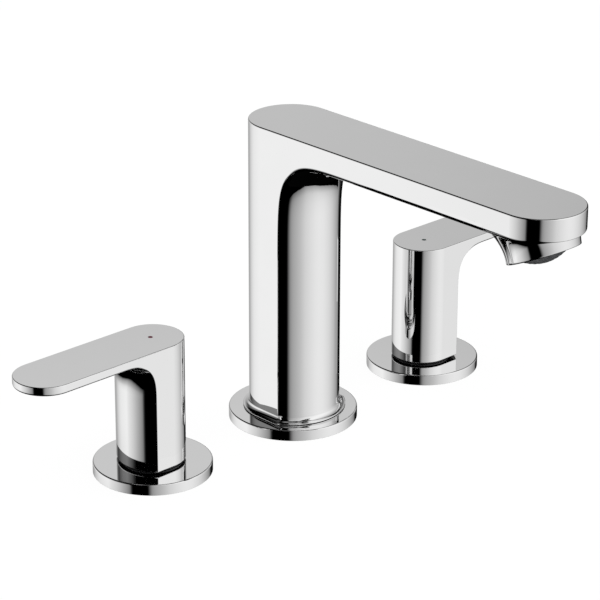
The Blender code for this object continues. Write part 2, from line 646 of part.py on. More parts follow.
def make_tee():
    """Joins the hot and the cold branch under the spout's shank."""
    tee = turned("spout_tee", [
        (0, TEE_BORE_FOOT - TEE_FLOOR), (TEE_RADIUS, TEE_BORE_FOOT - TEE_FLOOR), (TEE_RADIUS, TEE_TOP),
        (SHANK_RADIUS + FIT_GAP, TEE_TOP), (SHANK_RADIUS + FIT_GAP, TEE_SOCKET_FLOOR),
        (SHANK_BORE_RADIUS, TEE_SOCKET_FLOOR), (SHANK_BORE_RADIUS, TEE_BORE_FOOT), (0, TEE_BORE_FOOT)],
        "brass", segments=LARGE_SEGMENTS)
    tee.rotation_euler = HALF_FACET
    wall = (SHANK_BORE_RADIUS + TEE_RADIUS) / 2
    end = TEE_RADIUS + NIPPLE_LENGTH
    for side, direction in (("hot", -1), ("cold", 1)):
        branch = turned("tee_" + side + "_branch_tool", disc_profile(NIPPLE_RADIUS, wall, end))
        bore = turned("tee_" + side + "_bore_tool",
                      disc_profile(NIPPLE_BORE_RADIUS, SHANK_BORE_RADIUS / 2, end + CUT_OVERRUN))
        join(tee, lay_along_x(branch, direction, TEE_BRANCH_LEVEL))
        cut(tee, lay_along_x(bore, direction, TEE_BRANCH_LEVEL))
    turned("tee_seal", ring_profile(SHANK_BORE_RADIUS + FIT_GAP, SHANK_RADIUS,
                                    TEE_SEAL_TOP - TEE_SEAL_THICKNESS, TEE_SEAL_TOP), "rubber")


def make_handle(side, direction, turning):
    foot_steps = [(0, -LEVER_FOOT_ROUND), (LEVER_FOOT_ROUND, 0)]
    handle = add_object(side + "_handle", lever_bmesh(HANDLE, foot_steps), "chrome", turning)
    handle.rotation_euler = (0, 0, direction * math.pi / 2)
    cavity = turned(side + "_cavity_tool",
                    disc_profile(HANDLE_CAVITY_RADIUS, HANDLE_FOOT - CUT_OVERRUN, CAVITY_TOP),
                    parent=turning, segments=LARGE_SEGMENTS)
    dot_foot = LEVER_TOP - DOT_THICKNESS
    dot_seat = turned(side + "_dot_tool",
                      disc_profile(DOT_RADIUS + INLAY_GAP, dot_foot - INLAY_GAP, LEVER_TOP + CUT_OVERRUN),
                      parent=turning, segments=SMALL_SEGMENTS)
    cut(handle, cavity, dot_seat)
    enamel = "red_enamel" if side == "hot" else "blue_enamel"
    dot = disc_profile(DOT_RADIUS, dot_foot, LEVER_TOP)
    turned(side + "_index_dot", dot, enamel, turning, SMALL_SEGMENTS)
    socket = SPINDLE_SPLINE_RADIUS + FIT_GAP
    socket_top = INSERT_FOOT + INSERT_SOCKET_DEPTH
    turned(side + "_snap_insert", [
        (socket, INSERT_FOOT), (HANDLE_CAVITY_RADIUS - FIT_GAP, INSERT_FOOT),
        (HANDLE_CAVITY_RADIUS - FIT_GAP, INSERT_TOP), (0, INSERT_TOP), (0, socket_top),
        (socket, socket_top)], "white_plastic", turning)


def make_spindle(side, turning):
    """Shaft with splines above, a clip groove, a seal groove and a cross bar that turns the upper disc."""
    clip_radius = SPINDLE_RADIUS - CLIP_GROOVE_DEPTH
    clip_top = CLIP_FOOT + CLIP_THICKNESS + FIT_GAP
    groove = SPINDLE_RADIUS - SPINDLE_RING_CORD
    half_groove = SPINDLE_RING_CORD / 2 + FIT_GAP
    spline_foot = INSERT_FOOT + FIT_GAP
    bm = turned_bmesh([
        (0, BAR_FOOT + SPINDLE_BAR_BITE), (SPINDLE_RADIUS, BAR_FOOT + SPINDLE_BAR_BITE),
        (SPINDLE_RADIUS, SPINDLE_RING_HEIGHT - half_groove), (groove, SPINDLE_RING_HEIGHT - half_groove),
        (groove, SPINDLE_RING_HEIGHT + half_groove), (SPINDLE_RADIUS, SPINDLE_RING_HEIGHT + half_groove),
        (SPINDLE_RADIUS, CLIP_FOOT - FIT_GAP), (clip_radius, CLIP_FOOT - FIT_GAP), (clip_radius, clip_top),
        (SPINDLE_RADIUS, clip_top), (SPINDLE_RADIUS, spline_foot), (SPINDLE_SPLINE_RADIUS, spline_foot),
        (SPINDLE_SPLINE_RADIUS, SPINDLE_TOP), (0, SPINDLE_TOP)], 2 * SPINDLE_SPLINES)
    valley_share = SPINDLE_RADIUS / SPINDLE_SPLINE_RADIUS
    for vert in bm.verts:
        tooth = round(math.atan2(vert.co.y, vert.co.x) / TURN * 2 * SPINDLE_SPLINES)
        if vert.co.xy.length > (SPINDLE_RADIUS + SPINDLE_SPLINE_RADIUS) / 2 and tooth % 2:
            vert.co.xy = vert.co.xy * valley_share
    spindle = add_object(side + "_spindle", bm, "brass", turning)
    bar = block(side + "_bar_tool", (-SPINDLE_BAR_LENGTH / 2, -SPINDLE_BAR_WIDTH / 2, BAR_FOOT),
                (SPINDLE_BAR_LENGTH / 2, SPINDLE_BAR_WIDTH / 2, BAR_TOP), parent=turning)
    join(spindle, bar)
    turned(side + "_spindle_oring", seal_profile(groove + INLAY_GAP, SPINDLE_RING_CORD, SPINDLE_RING_HEIGHT),
           "rubber", turning, SMALL_SEGMENTS)
    make_clip(side, clip_radius + INLAY_GAP, turning)


def make_clip(side, inner, turning):
    """Open retaining ring in the spindle's groove."""
    steps = SMALL_SEGMENTS
    outer = inner + CLIP_WIDTH
    bm = bmesh.new()
    sections = []
    for i in range(steps + 1):
        angle = CLIP_OPENING / 2 + (TURN - CLIP_OPENING) * i / steps
        ray = Vector((math.cos(angle), math.sin(angle), 0))
        foot, top = Vector((0, 0, CLIP_FOOT)), Vector((0, 0, CLIP_FOOT + CLIP_THICKNESS))
        corners = (inner * ray + foot, outer * ray + foot, outer * ray + top, inner * ray + top)
        sections.append([bm.verts.new(corner) for corner in corners])
    for one, two in zip(sections, sections[1:]):
        for i in range(4):
            bm.faces.new((one[i - 1], one[i], two[i], two[i - 1]))
    bm.faces.new(sections[0])
    bm.faces.new(reversed(sections[-1]))
    add_object(side + "_spindle_clip", bm, "steel", turning)


def port_places(turn):
    """Two opposite ports of a ceramic disc."""
    angles = (turn, turn + math.pi)
    return [(DISC_PORT_CIRCLE * math.cos(a), DISC_PORT_CIRCLE * math.sin(a)) for a in angles]


def make_discs(side, valve, turning):
    """The upper disc turns with the spindle. At rest its ports stand across the fixed disc's."""
    radius = CARTRIDGE_CHAMBER_RADIUS - FIT_GAP
    upper_foot = DISC_TOP - DISC_THICKNESS
    upper = turned(side + "_rotating_disc", disc_profile(radius, upper_foot, DISC_TOP), "ceramic", turning)
    half_length = SPINDLE_BAR_LENGTH / 2 + FIT_GAP
    half_width = SPINDLE_BAR_WIDTH / 2 + FIT_GAP
    slot = block(side + "_slot_tool", (-half_length, -half_width, BAR_FOOT - FIT_GAP),
                 (half_length, half_width, DISC_TOP + CUT_OVERRUN), parent=turning)
    upper_ports = hole_tool(side + "_upper_port_tool", DISC_PORT_RADIUS, port_places(math.pi / 2),
                            upper_foot - CUT_OVERRUN, DISC_TOP + CUT_OVERRUN, turning)
    cut(upper, slot, upper_ports)
    lower_foot = FIXED_DISC_TOP - DISC_THICKNESS
    lower = turned(side + "_fixed_disc", disc_profile(radius, lower_foot, FIXED_DISC_TOP), "ceramic", valve)
    lower_ports = hole_tool(side + "_lower_port_tool", DISC_PORT_RADIUS, port_places(0),
                            lower_foot - CUT_OVERRUN, FIXED_DISC_TOP + CUT_OVERRUN, valve)
    cut(lower, lower_ports)
    seal = ring_profile(radius - SEAT_SEAL_WIDTH, radius, CARTRIDGE_FOOT, SEAT_TOP)
    turned(side + "_seat_seal", seal, "rubber", valve)


def make_cartridge_housing(side, valve):
    """Screwed into the valve body: hexagon above, windowed barrel round the discs below."""
    bore = SPINDLE_RADIUS + FIT_GAP
    thread = VALVE_BORE_RADIUS - FIT_GAP
    chamber = CARTRIDGE_CHAMBER_RADIUS
    barrel = CARTRIDGE_BARREL_RADIUS
    housing = turned(side + "_cartridge_housing", [
        (chamber, CARTRIDGE_FOOT), (barrel, CARTRIDGE_FOOT), (barrel, THREAD_FOOT), (thread, THREAD_FOOT),
        (thread, HEX_FOOT), (CARTRIDGE_NECK_RADIUS, HEX_FOOT),
        (CARTRIDGE_NECK_RADIUS, NECK_TOP), (bore, NECK_TOP), (bore, THREAD_FOOT), (chamber, THREAD_FOOT)],
        "brass", valve)
    collar = turned(side + "_hexagon_tool", disc_profile(CARTRIDGE_HEX_RADIUS, HEX_FOOT, HEX_TOP),
                    parent=valve, segments=HEXAGON_SIDES)
    collar_bore = turned(side + "_hexagon_bore_tool",
                         disc_profile(bore, HEX_FOOT - CUT_OVERRUN, HEX_TOP + CUT_OVERRUN), parent=valve)
    half = CARTRIDGE_WINDOW_WIDTH / 2
    reach = barrel + CUT_OVERRUN
    window = block(side + "_window_tool", (-half, -reach, DISC_TOP + FIT_GAP),
                   (half, reach, THREAD_FOOT - FIT_GAP), parent=valve)
    join(housing, collar)
    cut(housing, collar_bore, window)


def make_valve_body(side, inward, valve):
    """Threaded shank through the deck over a block with the outlet towards the spout."""
    inlet_hole = INLET_STUB_RADIUS + FIT_GAP
    body = turned(side + "_valve_body", [
        (inlet_hole, VALVE_BLOCK_FOOT), (VALVE_BLOCK_RADIUS, VALVE_BLOCK_FOOT),
        (VALVE_BLOCK_RADIUS, VALVE_BLOCK_TOP), (VALVE_SHANK_RADIUS, VALVE_BLOCK_TOP),
        (VALVE_SHANK_RADIUS, VALVE_TOP), (VALVE_BORE_RADIUS, VALVE_TOP),
        (VALVE_BORE_RADIUS, VALVE_BORE_FOOT), (inlet_hole, VALVE_BORE_FOOT)],
        "brass", valve, LARGE_SEGMENTS)
    body.rotation_euler = HALF_FACET
    level = VALVE_BORE_FOOT + NIPPLE_BORE_RADIUS + BRANCH_SUMP
    wall = (VALVE_BORE_RADIUS + VALVE_BLOCK_RADIUS) / 2
    end = VALVE_BLOCK_RADIUS + NIPPLE_LENGTH
    branch = turned(side + "_outlet_tool", disc_profile(NIPPLE_RADIUS, wall, end), parent=valve)
    bore = turned(side + "_outlet_bore_tool", disc_profile(NIPPLE_BORE_RADIUS, RISER_RADIUS + CUT_OVERRUN,
                                                           end + CUT_OVERRUN), parent=valve)
    join(body, lay_along_x(branch, inward, level))
    cut(body, lay_along_x(bore, inward, level))


def make_inlet(side, valve):
    """Nipple screwed into the valve body's floor, and the riser tube that stands in it."""
    foot = VALVE_BLOCK_FOOT - NIPPLE_LENGTH
    top = VALVE_BLOCK_FOOT - FIT_GAP
    nipple = turned(side + "_inlet_nipple", [
        (NIPPLE_BORE_RADIUS, foot), (NIPPLE_RADIUS, foot), (NIPPLE_RADIUS, top), (INLET_STUB_RADIUS, top),
        (INLET_STUB_RADIUS, VALVE_BORE_FOOT), (NIPPLE_BORE_RADIUS, VALVE_BORE_FOOT)],
        "brass", valve)
    hexagon_foot = top - INLET_HEXAGON_HEIGHT
    hexagon = turned(side + "_inlet_hexagon_tool", disc_profile(INLET_HEXAGON_RADIUS, hexagon_foot, top),
                     parent=valve, segments=HEXAGON_SIDES)
    hexagon_bore = turned(side + "_inlet_bore_tool",
                          disc_profile(NIPPLE_BORE_RADIUS, hexagon_foot - CUT_OVERRUN, top + CUT_OVERRUN),
                          parent=valve)
    join(nipple, hexagon)
    cut(nipple, hexagon_bore)
    flare_foot = RISER_TOP - 2 * RISER_FLANGE_THICKNESS
    mouth = CARTRIDGE_CHAMBER_RADIUS - FIT_GAP - SEAT_SEAL_WIDTH
    turned(side + "_riser_tube", [
        (RISER_BORE_RADIUS, RISER_FOOT), (RISER_RADIUS, RISER_FOOT), (RISER_RADIUS, flare_foot),
        (RISER_FLANGE_RADIUS, RISER_TOP - RISER_FLANGE_THICKNESS), (RISER_FLANGE_RADIUS, RISER_TOP),
        (mouth, RISER_TOP), (RISER_BORE_RADIUS, flare_foot)], "copper", valve)


def make_valve(side, direction):
    valve = add_empty(side + "_valve_axis", (direction * VALVE_SPACING / 2, 0, 0))
    turning = add_empty(side + "_handle_axis", (0, 0, 0), valve)
    make_handle(side, direction, turning)
    make_spindle(side, turning)
    make_discs(side, valve, turning)
    make_cartridge_housing(side, valve)
    make_valve_body(side, -direction, valve)
    make_inlet(side, valve)
    make_escutcheon(side + "_escutcheon", VALVE_PLATE_RADIUS, VALVE_SHANK_RADIUS + FIT_GAP,
                    CARTRIDGE_HEX_RADIUS + FIT_GAP, "chrome", valve)
    make_gasket(side + "_gasket", VALVE_PLATE_RADIUS, valve)
    ring = ring_profile(CARTRIDGE_HEX_RADIUS + FIT_GAP, GLIDE_RING_RADIUS, GLIDE_RING_FOOT,
                        GLIDE_RING_FOOT + GLIDE_RING_HEIGHT)
    turned(side + "_glide_ring", ring, "dark_plastic", valve)
    make_clamp(side, VALVE_SHANK_RADIUS, valve)


def main():
    clear_scene()
    outlet = add_empty("outlet_axis", (0, -OUTLET_REACH, OUTLET_HEIGHT), tilt=-OUTLET_TILT)
    make_spout_body(outlet)
    make_aerator(outlet)
    make_spout_fixings()
    make_tee()
    make_valve("hot", -1)
    make_valve("cold", 1)


main()
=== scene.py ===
import json
import math

import bmesh
import bpy
import numpy as np
from mathutils import Matrix, Vector

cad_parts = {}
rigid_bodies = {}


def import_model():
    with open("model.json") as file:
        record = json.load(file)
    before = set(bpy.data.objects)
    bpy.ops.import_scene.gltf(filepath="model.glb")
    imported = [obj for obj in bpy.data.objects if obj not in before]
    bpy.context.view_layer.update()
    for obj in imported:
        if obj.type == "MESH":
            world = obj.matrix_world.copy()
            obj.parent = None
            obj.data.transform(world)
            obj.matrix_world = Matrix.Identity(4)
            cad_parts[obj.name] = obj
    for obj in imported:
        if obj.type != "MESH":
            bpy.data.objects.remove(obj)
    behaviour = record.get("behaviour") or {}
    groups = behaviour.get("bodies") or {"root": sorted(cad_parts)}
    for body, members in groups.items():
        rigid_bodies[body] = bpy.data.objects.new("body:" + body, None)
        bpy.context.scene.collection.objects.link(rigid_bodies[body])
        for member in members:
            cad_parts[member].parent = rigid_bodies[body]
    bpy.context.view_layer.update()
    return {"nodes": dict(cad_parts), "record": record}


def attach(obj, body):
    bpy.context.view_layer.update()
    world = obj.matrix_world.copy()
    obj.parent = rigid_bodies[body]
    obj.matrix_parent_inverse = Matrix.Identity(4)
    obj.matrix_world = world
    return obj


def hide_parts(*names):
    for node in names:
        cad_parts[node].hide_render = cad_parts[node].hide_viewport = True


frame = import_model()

MM = 0.001
TURN = 2 * math.pi

# Sizes in millimetres, in the frame's axes: +X to the cold side, -Y along the spout, +Z up.
#
# The spout and the handles share one shape. Its sizes are the half width, the reach to the centre of the
# round tip, the shift of the rear arc's centre, how far the front's corners and its middle lie before the
# axis, the heights of the foot, the arm's underside and the top, the size and the power of the arch's
# superellipse, the rounding of the edges, and how far the tip's lower edge climbs.
SPOUT = {"width": 18.05, "reach": 138.05, "rear": 1.3, "corner": 9.6, "front": 19.5,
         "foot": 4.95, "under": 123.92, "top": 135.2, "arch": 58.0, "power": 6.2,
         "top_round": 0.6, "under_round": 2.3, "corner_round": 0.25, "nose_round": 0.2, "tip_rise": 1.9}
HANDLE = {"width": 13.4, "reach": 54.47, "rear": 0.6, "corner": 8.5, "front": 14.1,
          "foot": 5.9, "under": 55.8, "top": 59.7, "arch": 18.0, "power": 3.1,
          "top_round": 0.4, "under_round": 1.0, "corner_round": 0.15, "nose_round": 1.0, "tip_rise": 0.0}

# Their meshes: steps round the rear arc, across the front and along the arch, the front's narrow first strip
# and the least gap above the foot. Bends count more than length in the arch's spacing. The tip's edge rises
# and rounds between two angles, and the front's corners get rounder in the last share of the arch.
REAR_STEPS = 96
FRONT_STEPS = 64
ARCH_STEPS = 110
ARCH_SAMPLES = 4000
FIRST_STRIP = 0.3
FIRST_ROW_GAP = 0.01
HEADING_WEIGHT = 3
LEDGE_SHARE = 0.72
TIP_RISE_SLANTS = (15, 60)
NOSE_ROUND_TURNS = (35, 55)
CORNER_ROUND_DROP = 0.11
BEVEL_SEGMENTS = 5

# Foot of the column and of a handle, as steps of rise and offset from the section above it
FLARE = 2.6
FLARE_LIP = 0.4
FLARE_EDGE = 0.12
FLARE_STEPS = 16
HANDLE_FOOT = [(0, -0.3), (0.09, -0.09), (0.3, 0)]

# Holes in the spout and in a handle (radius, foot and top), and the index dot's outline
SPOUT_SOCKET_TOP = 30.9
RISER_RADIUS = 8.0
RISER_FOOT = 30.0
RISER_TOP = 129.0
HANDLE_SOCKET = (10.6, 0.0, 46.0)
DOT_HOLE = (1.05, 58.95, 61.0)
DOT_PROFILE = [(1.02, 59.0), (1.02, 59.58), (0.95, 59.64), (0.7, 59.65)]
DOT_SEGMENTS = 48

# Outlet boss and aerator. Depths are measured inward from the outlet's rim. A ring is given by its inner and
# outer radius, foot and top, here and below.
OUTLET = Vector((0, -140.6, 114.9))
OUTLET_TILT = math.radians(24.8)
OUTLET_LEAN = math.radians(13.0)
OUTLET_RADIUS = 15.1
OUTLET_RECESS = 11.6
OUTLET_LIP = [(OUTLET_RECESS, 9.0), (OUTLET_RECESS, 0.35), (OUTLET_RECESS + 0.1, 0.1),
              (OUTLET_RECESS + 0.35, 0.0), (OUTLET_RADIUS - 0.45, 0.0), (OUTLET_RADIUS - 0.28, 0.05),
              (OUTLET_RADIUS - 0.10, 0.16)]
OUTLET_WALL_DEPTH = 0.4
OUTLET_BACK = 21.0
OUTLET_SIDE = 1.2
OUTLET_FRONT_CLIMB = 1.8
BOSS_OVERLAP = 0.08
BOSS_SEGMENTS = 160
BOSS_STEPS = 32
AERATOR_SEGMENTS = 128
DOME_RADIUS = 9.8
DOME_RISE = 3.2
DOME_DEPTH = 1.2
DOME_HOLE = 0.4
DOME_STEPS = 24
RIPPLE_HEIGHT = 0.06
RIPPLES = 5.5
AERATOR_RING = (DOME_RADIUS + 0.15, 11.4, 0.5, 8.6)

# Plates, holes and what lies below the deck, for each of the three units by its place along X. Outlines are
# rows of radius and height.
PLACES = {"spout": 0.0, "hot": -80.0, "cold": 80.0}
SIDES = {"hot": -1, "cold": 1}
PLATE_RADII = {"spout": 27.8, "hot": 25.0, "cold": 25.0}
PLATE_HOLES = {"spout": 12.3, "hot": 13.3, "cold": 13.3}
PLATE_LIPS = {"spout": 12.3, "hot": 10.1, "cold": 10.1}
PLATE_TOP = 4.7
PLATE_LIP_FOOT = 3.2
PLATE_RIM = 1.5
PLATE_ROUND = 0.7
PLATE_ROUND_STEPS = 6
PLATE_FOOT_ROUND = 0.12
PLATE_SEGMENTS = 192
GROOVE_WIDTH = 4.0
GROOVE_HEIGHT = 1.5
GASKET_WIDTH = 3.4
GASKET_HEIGHT = 1.2
GASKET_INSET = 1.8
GLIDE_RING = (10.1, 12.5, 4.85, 5.7)
GLIDE_RING_ROUND = 0.2
SMALL_ROUND = 0.25
SOFT_ROUND = 0.35
PIN_OFFSET = 15.625
PIN_HOLE = 1.7
PIN_HOLE_TOP = 9.7
PIN_SLOT = (2.1, 6.0)
PIN_SEGMENTS = 32
DECK_UNDERSIDE = -20.0
SHANK_RADII = {"spout": 12.0, "hot": 13.0, "cold": 13.0}
SHANK_BORE = 7.5
SHANK_BELOW_THREAD = [(SHANK_BORE, -62.0), (11.3, -62.0), (12.0, -61.2)]
SHANK_ABOVE_THREAD = [(12.0, 3.0), (12.0, 24.2), (10.4, 24.5), (10.4, 26.7), (12.0, 27.0), (12.0, 30.0),
                      (11.4, 30.6), (SHANK_BORE, 30.6)]
SHANK_SEGMENTS = 96
THREAD_FOOT = -61.0
THREAD_TOP = 2.0
THREAD_PITCH = 1.5
THREAD_DEPTH = 0.75
THREAD_SLOPE = 2.4
THREAD_ROWS_PER_TURN = 8
CLAMP_GAP = 0.3
WASHER_WIDTH = 7.5
RUBBER_WASHER_FOOT = -22.0
STEEL_WASHER_FOOT = -23.5
STEEL_WASHER_TOP = -22.3
NUT_WIDTH = 8.5
NUT_FOOT = -31.8
NUT_TOP = -23.8
NUT_EDGE = 0.5
NUT_CHAMFER = 1.6
NUT_CHAMFER_SLOPE = 1.6
NUT_STEPS = 40
NUT_SEGMENTS = 180
TOUCH = 1e-6

# The photograph's camera: angles in radians, distances in metres, focus and centre in pixels
VIEW_SIDE = 0.7569
VIEW_RISE = 0.3877
VIEW_ROLL = 0.0017
VIEW_TARGET = Vector((0, 0, 0.06))
VIEW_DISTANCE = 1.19035
PHOTO_SIZE = 600
PHOTO_FOCUS = 2794.6
PHOTO_CENTRE = (293.117, 285.614)
SENSOR = 36

# Share of the light that the polished chrome returns
MIRROR = 0.875


# Node trees

def tone(value):
    """Linear light of an 8-bit tone."""
    share = value / 255
    return share / 12.92 if share <= 0.04045 else ((share + 0.055) / 1.055) ** 2.4


class Graph:
    """Shorthand for a node tree. A socket takes another node's output or a constant."""

    def __init__(self, tree):
        self.nodes, self.links = tree.nodes, tree.links

    def feed(self, node, inputs):
        for socket, value in inputs.items():
            if isinstance(value, bpy.types.NodeSocket):
                self.links.new(value, node.inputs[socket])
            else:
                node.inputs[socket].default_value = value

    def add(self, kind, inputs=(), **settings):
        node = self.nodes.new("ShaderNode" + kind)
        for name, value in settings.items():
            setattr(node, name, value)
        self.feed(node, dict(inputs))
        return node

    def maths(self, operation, *values):
        return self.add("Math", enumerate(values), operation=operation).outputs[0]

    def product(self, one, two):
        return self.maths("MULTIPLY", one, two)

    def rest(self, share):
        return self.maths("SUBTRACT", 1.0, share)

    def blend(self, share, one, two):
        """One where the share is 0, two where it is 1."""
        return self.maths("ADD", self.product(one, self.rest(share)), self.product(two, share))

    def spread(self, value, low, high, curve="LINEAR"):
        """The value's share of the way from low to high, held between 0 and 1."""
        return self.add("MapRange", {"Value": value, "From Min": low, "From Max": high},
                        interpolation_type=curve).outputs[0]

    def table(self, stops, share, low, high, convert=float, curve="LINEAR"):
        """Looks the share up in (place, value) stops between the places low and high."""
        node = self.add("ValToRGB", {"Fac": share})
        node.color_ramp.interpolation = curve
        elements = node.color_ramp.elements
        for i, (place, value) in enumerate(stops):
            position = (place - low) / (high - low)
            if 0 < i < len(stops) - 1:
                element = elements.new(position)
            else:
                element = elements[-1 if i else 0]
                element.position = position
            element.color = (convert(value),) * 3 + (1,)
        return node.outputs["Color"]

    def mix(self, share, one, two):
        return self.add("MixShader", {0: share, 1: one.outputs[0], 2: two.outputs[0]})


def new_graph(data):
    data.use_nodes = True
    return Graph(data.node_tree)


# Materials

NOISE_SPAN = (0.3, 0.7)


def finish(name, colour, rough, metallic=0.0, mottle=0.05, grain=90.0, stretch=(1, 1, 1),
           rough_swing=0.04, bump=0.0, bump_grain=900.0, bump_depth=0.0001, coat=0.0, specular=0.5):
    """A Principled material whose colour, roughness and relief come from noise in the object's own space."""
    material = bpy.data.materials.new(name)
    graph = new_graph(material)
    place = graph.add("TexCoord").outputs["Object"]
    mapped = graph.add("Mapping", {"Vector": place, "Scale": stretch}).outputs[0]
    noise = graph.add("TexNoise", {"Vector": mapped, "Scale": grain, "Detail": 4.0}).outputs["Fac"]
    ramp = graph.add("ValToRGB", {"Fac": noise})
    for element, position, share in zip(ramp.color_ramp.elements, NOISE_SPAN, (1 - mottle, 1 + mottle)):
        element.position = position
        element.color = (*[min(1, c * share) for c in colour], 1)
    roughness = graph.add("MapRange", {
        "Value": noise, "From Min": NOISE_SPAN[0], "From Max": NOISE_SPAN[1],
        "To Min": max(0.0, rough - rough_swing), "To Max": rough + rough_swing})
    sockets = {"Base Color": ramp.outputs["Color"], "Roughness": roughness.outputs[0],
               "Metallic": metallic, "Coat Weight": coat, "Specular IOR Level": specular}
    if bump:
        fine = graph.add("TexNoise", {"Vector": mapped, "Scale": bump_grain, "Detail": 3.0})
        relief = graph.add("Bump", {"Height": fine.outputs["Fac"], "Strength": bump,
                                    "Distance": bump_depth})
        sockets["Normal"] = relief.outputs[0]
    graph.feed(graph.nodes["Principled BSDF"], sockets)
    return material


FINISHES = {
    "chrome": finish(
        "polished_chrome", (MIRROR, MIRROR, MIRROR), 0.02, 1.0, mottle=0.006, grain=60, rough_swing=0.012),
    "brass": finish(
        "turned_brass", (0.70, 0.52, 0.26), 0.26, 1.0, mottle=0.12, grain=40, stretch=(1, 1, 60),
        rough_swing=0.08, bump=0.25, bump_grain=120, bump_depth=0.00003),
    "steel": finish(
        "zinc_steel", (0.60, 0.61, 0.62), 0.34, 1.0, mottle=0.10, grain=260, rough_swing=0.10,
        bump=0.2, bump_grain=1500, bump_depth=0.00003),
    "rubber": finish(
        "black_rubber", (0.022, 0.022, 0.024), 0.72, mottle=0.25, grain=500, rough_swing=0.10,
        bump=0.35, bump_grain=2200, bump_depth=0.00005),
    "dark_plastic": finish(
        "black_plastic", (0.016, 0.016, 0.018), 0.42, mottle=0.2, grain=400, rough_swing=0.08,
        bump=0.2, bump_grain=2600, bump_depth=0.00003),
    "grey_plastic": finish(
        "aerator_plastic", (0.075, 0.077, 0.080), 0.46, mottle=0.3, grain=700, rough_swing=0.10,
        bump=0.3, bump_grain=2400, bump_depth=0.00005),
    "white_plastic": finish(
        "white_plastic", (0.80, 0.79, 0.76), 0.42, mottle=0.03, grain=200, rough_swing=0.06,
        bump=0.15, bump_grain=1800, bump_depth=0.00003),
    "ceramic": finish(
        "lapped_ceramic", (0.80, 0.78, 0.73), 0.22, mottle=0.04, grain=500, rough_swing=0.06, coat=0.3),
    "copper": finish(
        "copper_tube", (0.80, 0.42, 0.27), 0.27, 1.0, mottle=0.12, grain=50, stretch=(8, 8, 1),
        rough_swing=0.08, bump=0.15, bump_grain=300, bump_depth=0.00003),
    "red_enamel": finish(
        "red_enamel", (0.12, 0.006, 0.026), 0.45, mottle=0.10, grain=900, specular=0.15),
    "blue_enamel": finish(
        "blue_enamel", (0.028, 0.048, 0.044), 0.45, mottle=0.10, grain=900, specular=0.15),
}
# Height above a handle's foot below which its chrome colour is black, as painted shade on the underside
PAINTED_SHADE_MARGIN = 0.03


def shaded_lever_finish():
    """The handles' chrome with painted shade: its colour is black below a line just above their lower edge,
    so their underside looks dark.
    """
    material = FINISHES["chrome"].copy()
    material.name = FINISHES["chrome"].name + "_lever"
    graph = Graph(material.node_tree)
    colour = graph.nodes["Principled BSDF"].inputs["Base Color"]
    height = graph.add("SeparateXYZ", {0: graph.add("TexCoord").outputs["Object"]}).outputs["Z"]
    # Painted shade: the base colour is multiplied by 0 below this height, so the underside renders dark
    unshaded = graph.maths("GREATER_THAN", height, (HANDLE["foot"] + PAINTED_SHADE_MARGIN) * MM)
    scaled = graph.add("VectorMath", {0: colour.links[0].from_socket, "Scale": unshaded}, operation="SCALE")
    graph.links.new(scaled.outputs[0], colour)
    return material


SHADED_LEVER_CHROME = shaded_lever_finish()
SLOTS = {part["node"]: part["material_slot"] for part in frame["record"]["subparts"]}
BODIES = {node: body for body, nodes in frame["record"]["behaviour"]["bodies"].items() for node in nodes}


# Mesh helpers: all coordinates are in millimetres until a piece is made

ROUND_LIMIT = 0.45


def at(x=0.0, y=0.0):
    return Matrix.Translation((x, y, 0.0))


def share_of(value, low, high):
    """Share of the way from low to high, held between 0 and 1."""
    return min(max((value - low) / (high - low), 0), 1)


def eased(share):
    return share * share * (3 - 2 * share)


def link_mesh(name, bm):
    """An object with the mesh that bm holds."""
    mesh = bpy.data.meshes.new(name)
    bm.to_mesh(mesh)
    bm.free()
    item = bpy.data.objects.new(name, mesh)
    bpy.context.collection.objects.link(item)
    return item


def new_object(name, bm):
    bmesh.ops.recalc_face_normals(bm, faces=bm.faces)
    bmesh.ops.scale(bm, vec=(MM, MM, MM), verts=bm.verts)
    return link_mesh(name, bm)


def strip(bm, lower, upper):
    """Quads between two open rows of the same count."""
    for i in range(1, len(lower)):
        bm.faces.new((lower[i - 1], lower[i], upper[i], upper[i - 1]))


def skin(bm, rows, wrap=False, caps=False):
    """Quads between successive rings of the same count. Returns the rings' vertices."""
    rings = [[bm.verts.new(point) for point in row] for row in rows]
    pairs = list(zip(rings, rings[1:]))
    if wrap:
        pairs.append((rings[-1], rings[0]))
    for lower, upper in pairs:
        for i in range(len(lower)):
            bm.faces.new((lower[i - 1], lower[i], upper[i], upper[i - 1]))
    if caps:
        bm.faces.new(rings[0])
        bm.faces.new(rings[-1])
    return rings


def band(inner, outer, foot, top):
    """Outline of a plain ring."""
    return [(inner, foot), (outer, foot), (outer, top), (inner, top)]


def rounded(profile, radius, steps=4, foot=None):
    """An outline of radius and height with round corners. Those at height 0 can have their own rounding."""
    points = [Vector(p) for p in profile]
    result = []
    for i, corner in enumerate(points):
        before = points[i - 1] - corner
        after = points[(i + 1) % len(points)] - corner
        bend = before.angle(after)
        size = foot if foot is not None and corner.y == 0 else radius
        reach = min(size / math.tan(bend / 2), ROUND_LIMIT * before.length, ROUND_LIMIT * after.length)
        start, end = corner + before.normalized() * reach, corner + after.normalized() * reach
        for k in range(steps + 1):
            t = k / steps
            result.append(tuple((1 - t) ** 2 * start + 2 * t * (1 - t) * corner + t * t * end))
    return result


def turned_rows(profile, segments, radius_at=None):
    rows = []
    for radius, height in profile:
        row = []
        for i in range(segments):
            turn = TURN * i / segments
            r = radius_at(radius, height, turn) if radius_at else radius
            row.append(Vector((r * math.cos(turn), r * math.sin(turn), height)))
        rows.append(row)
    return rows


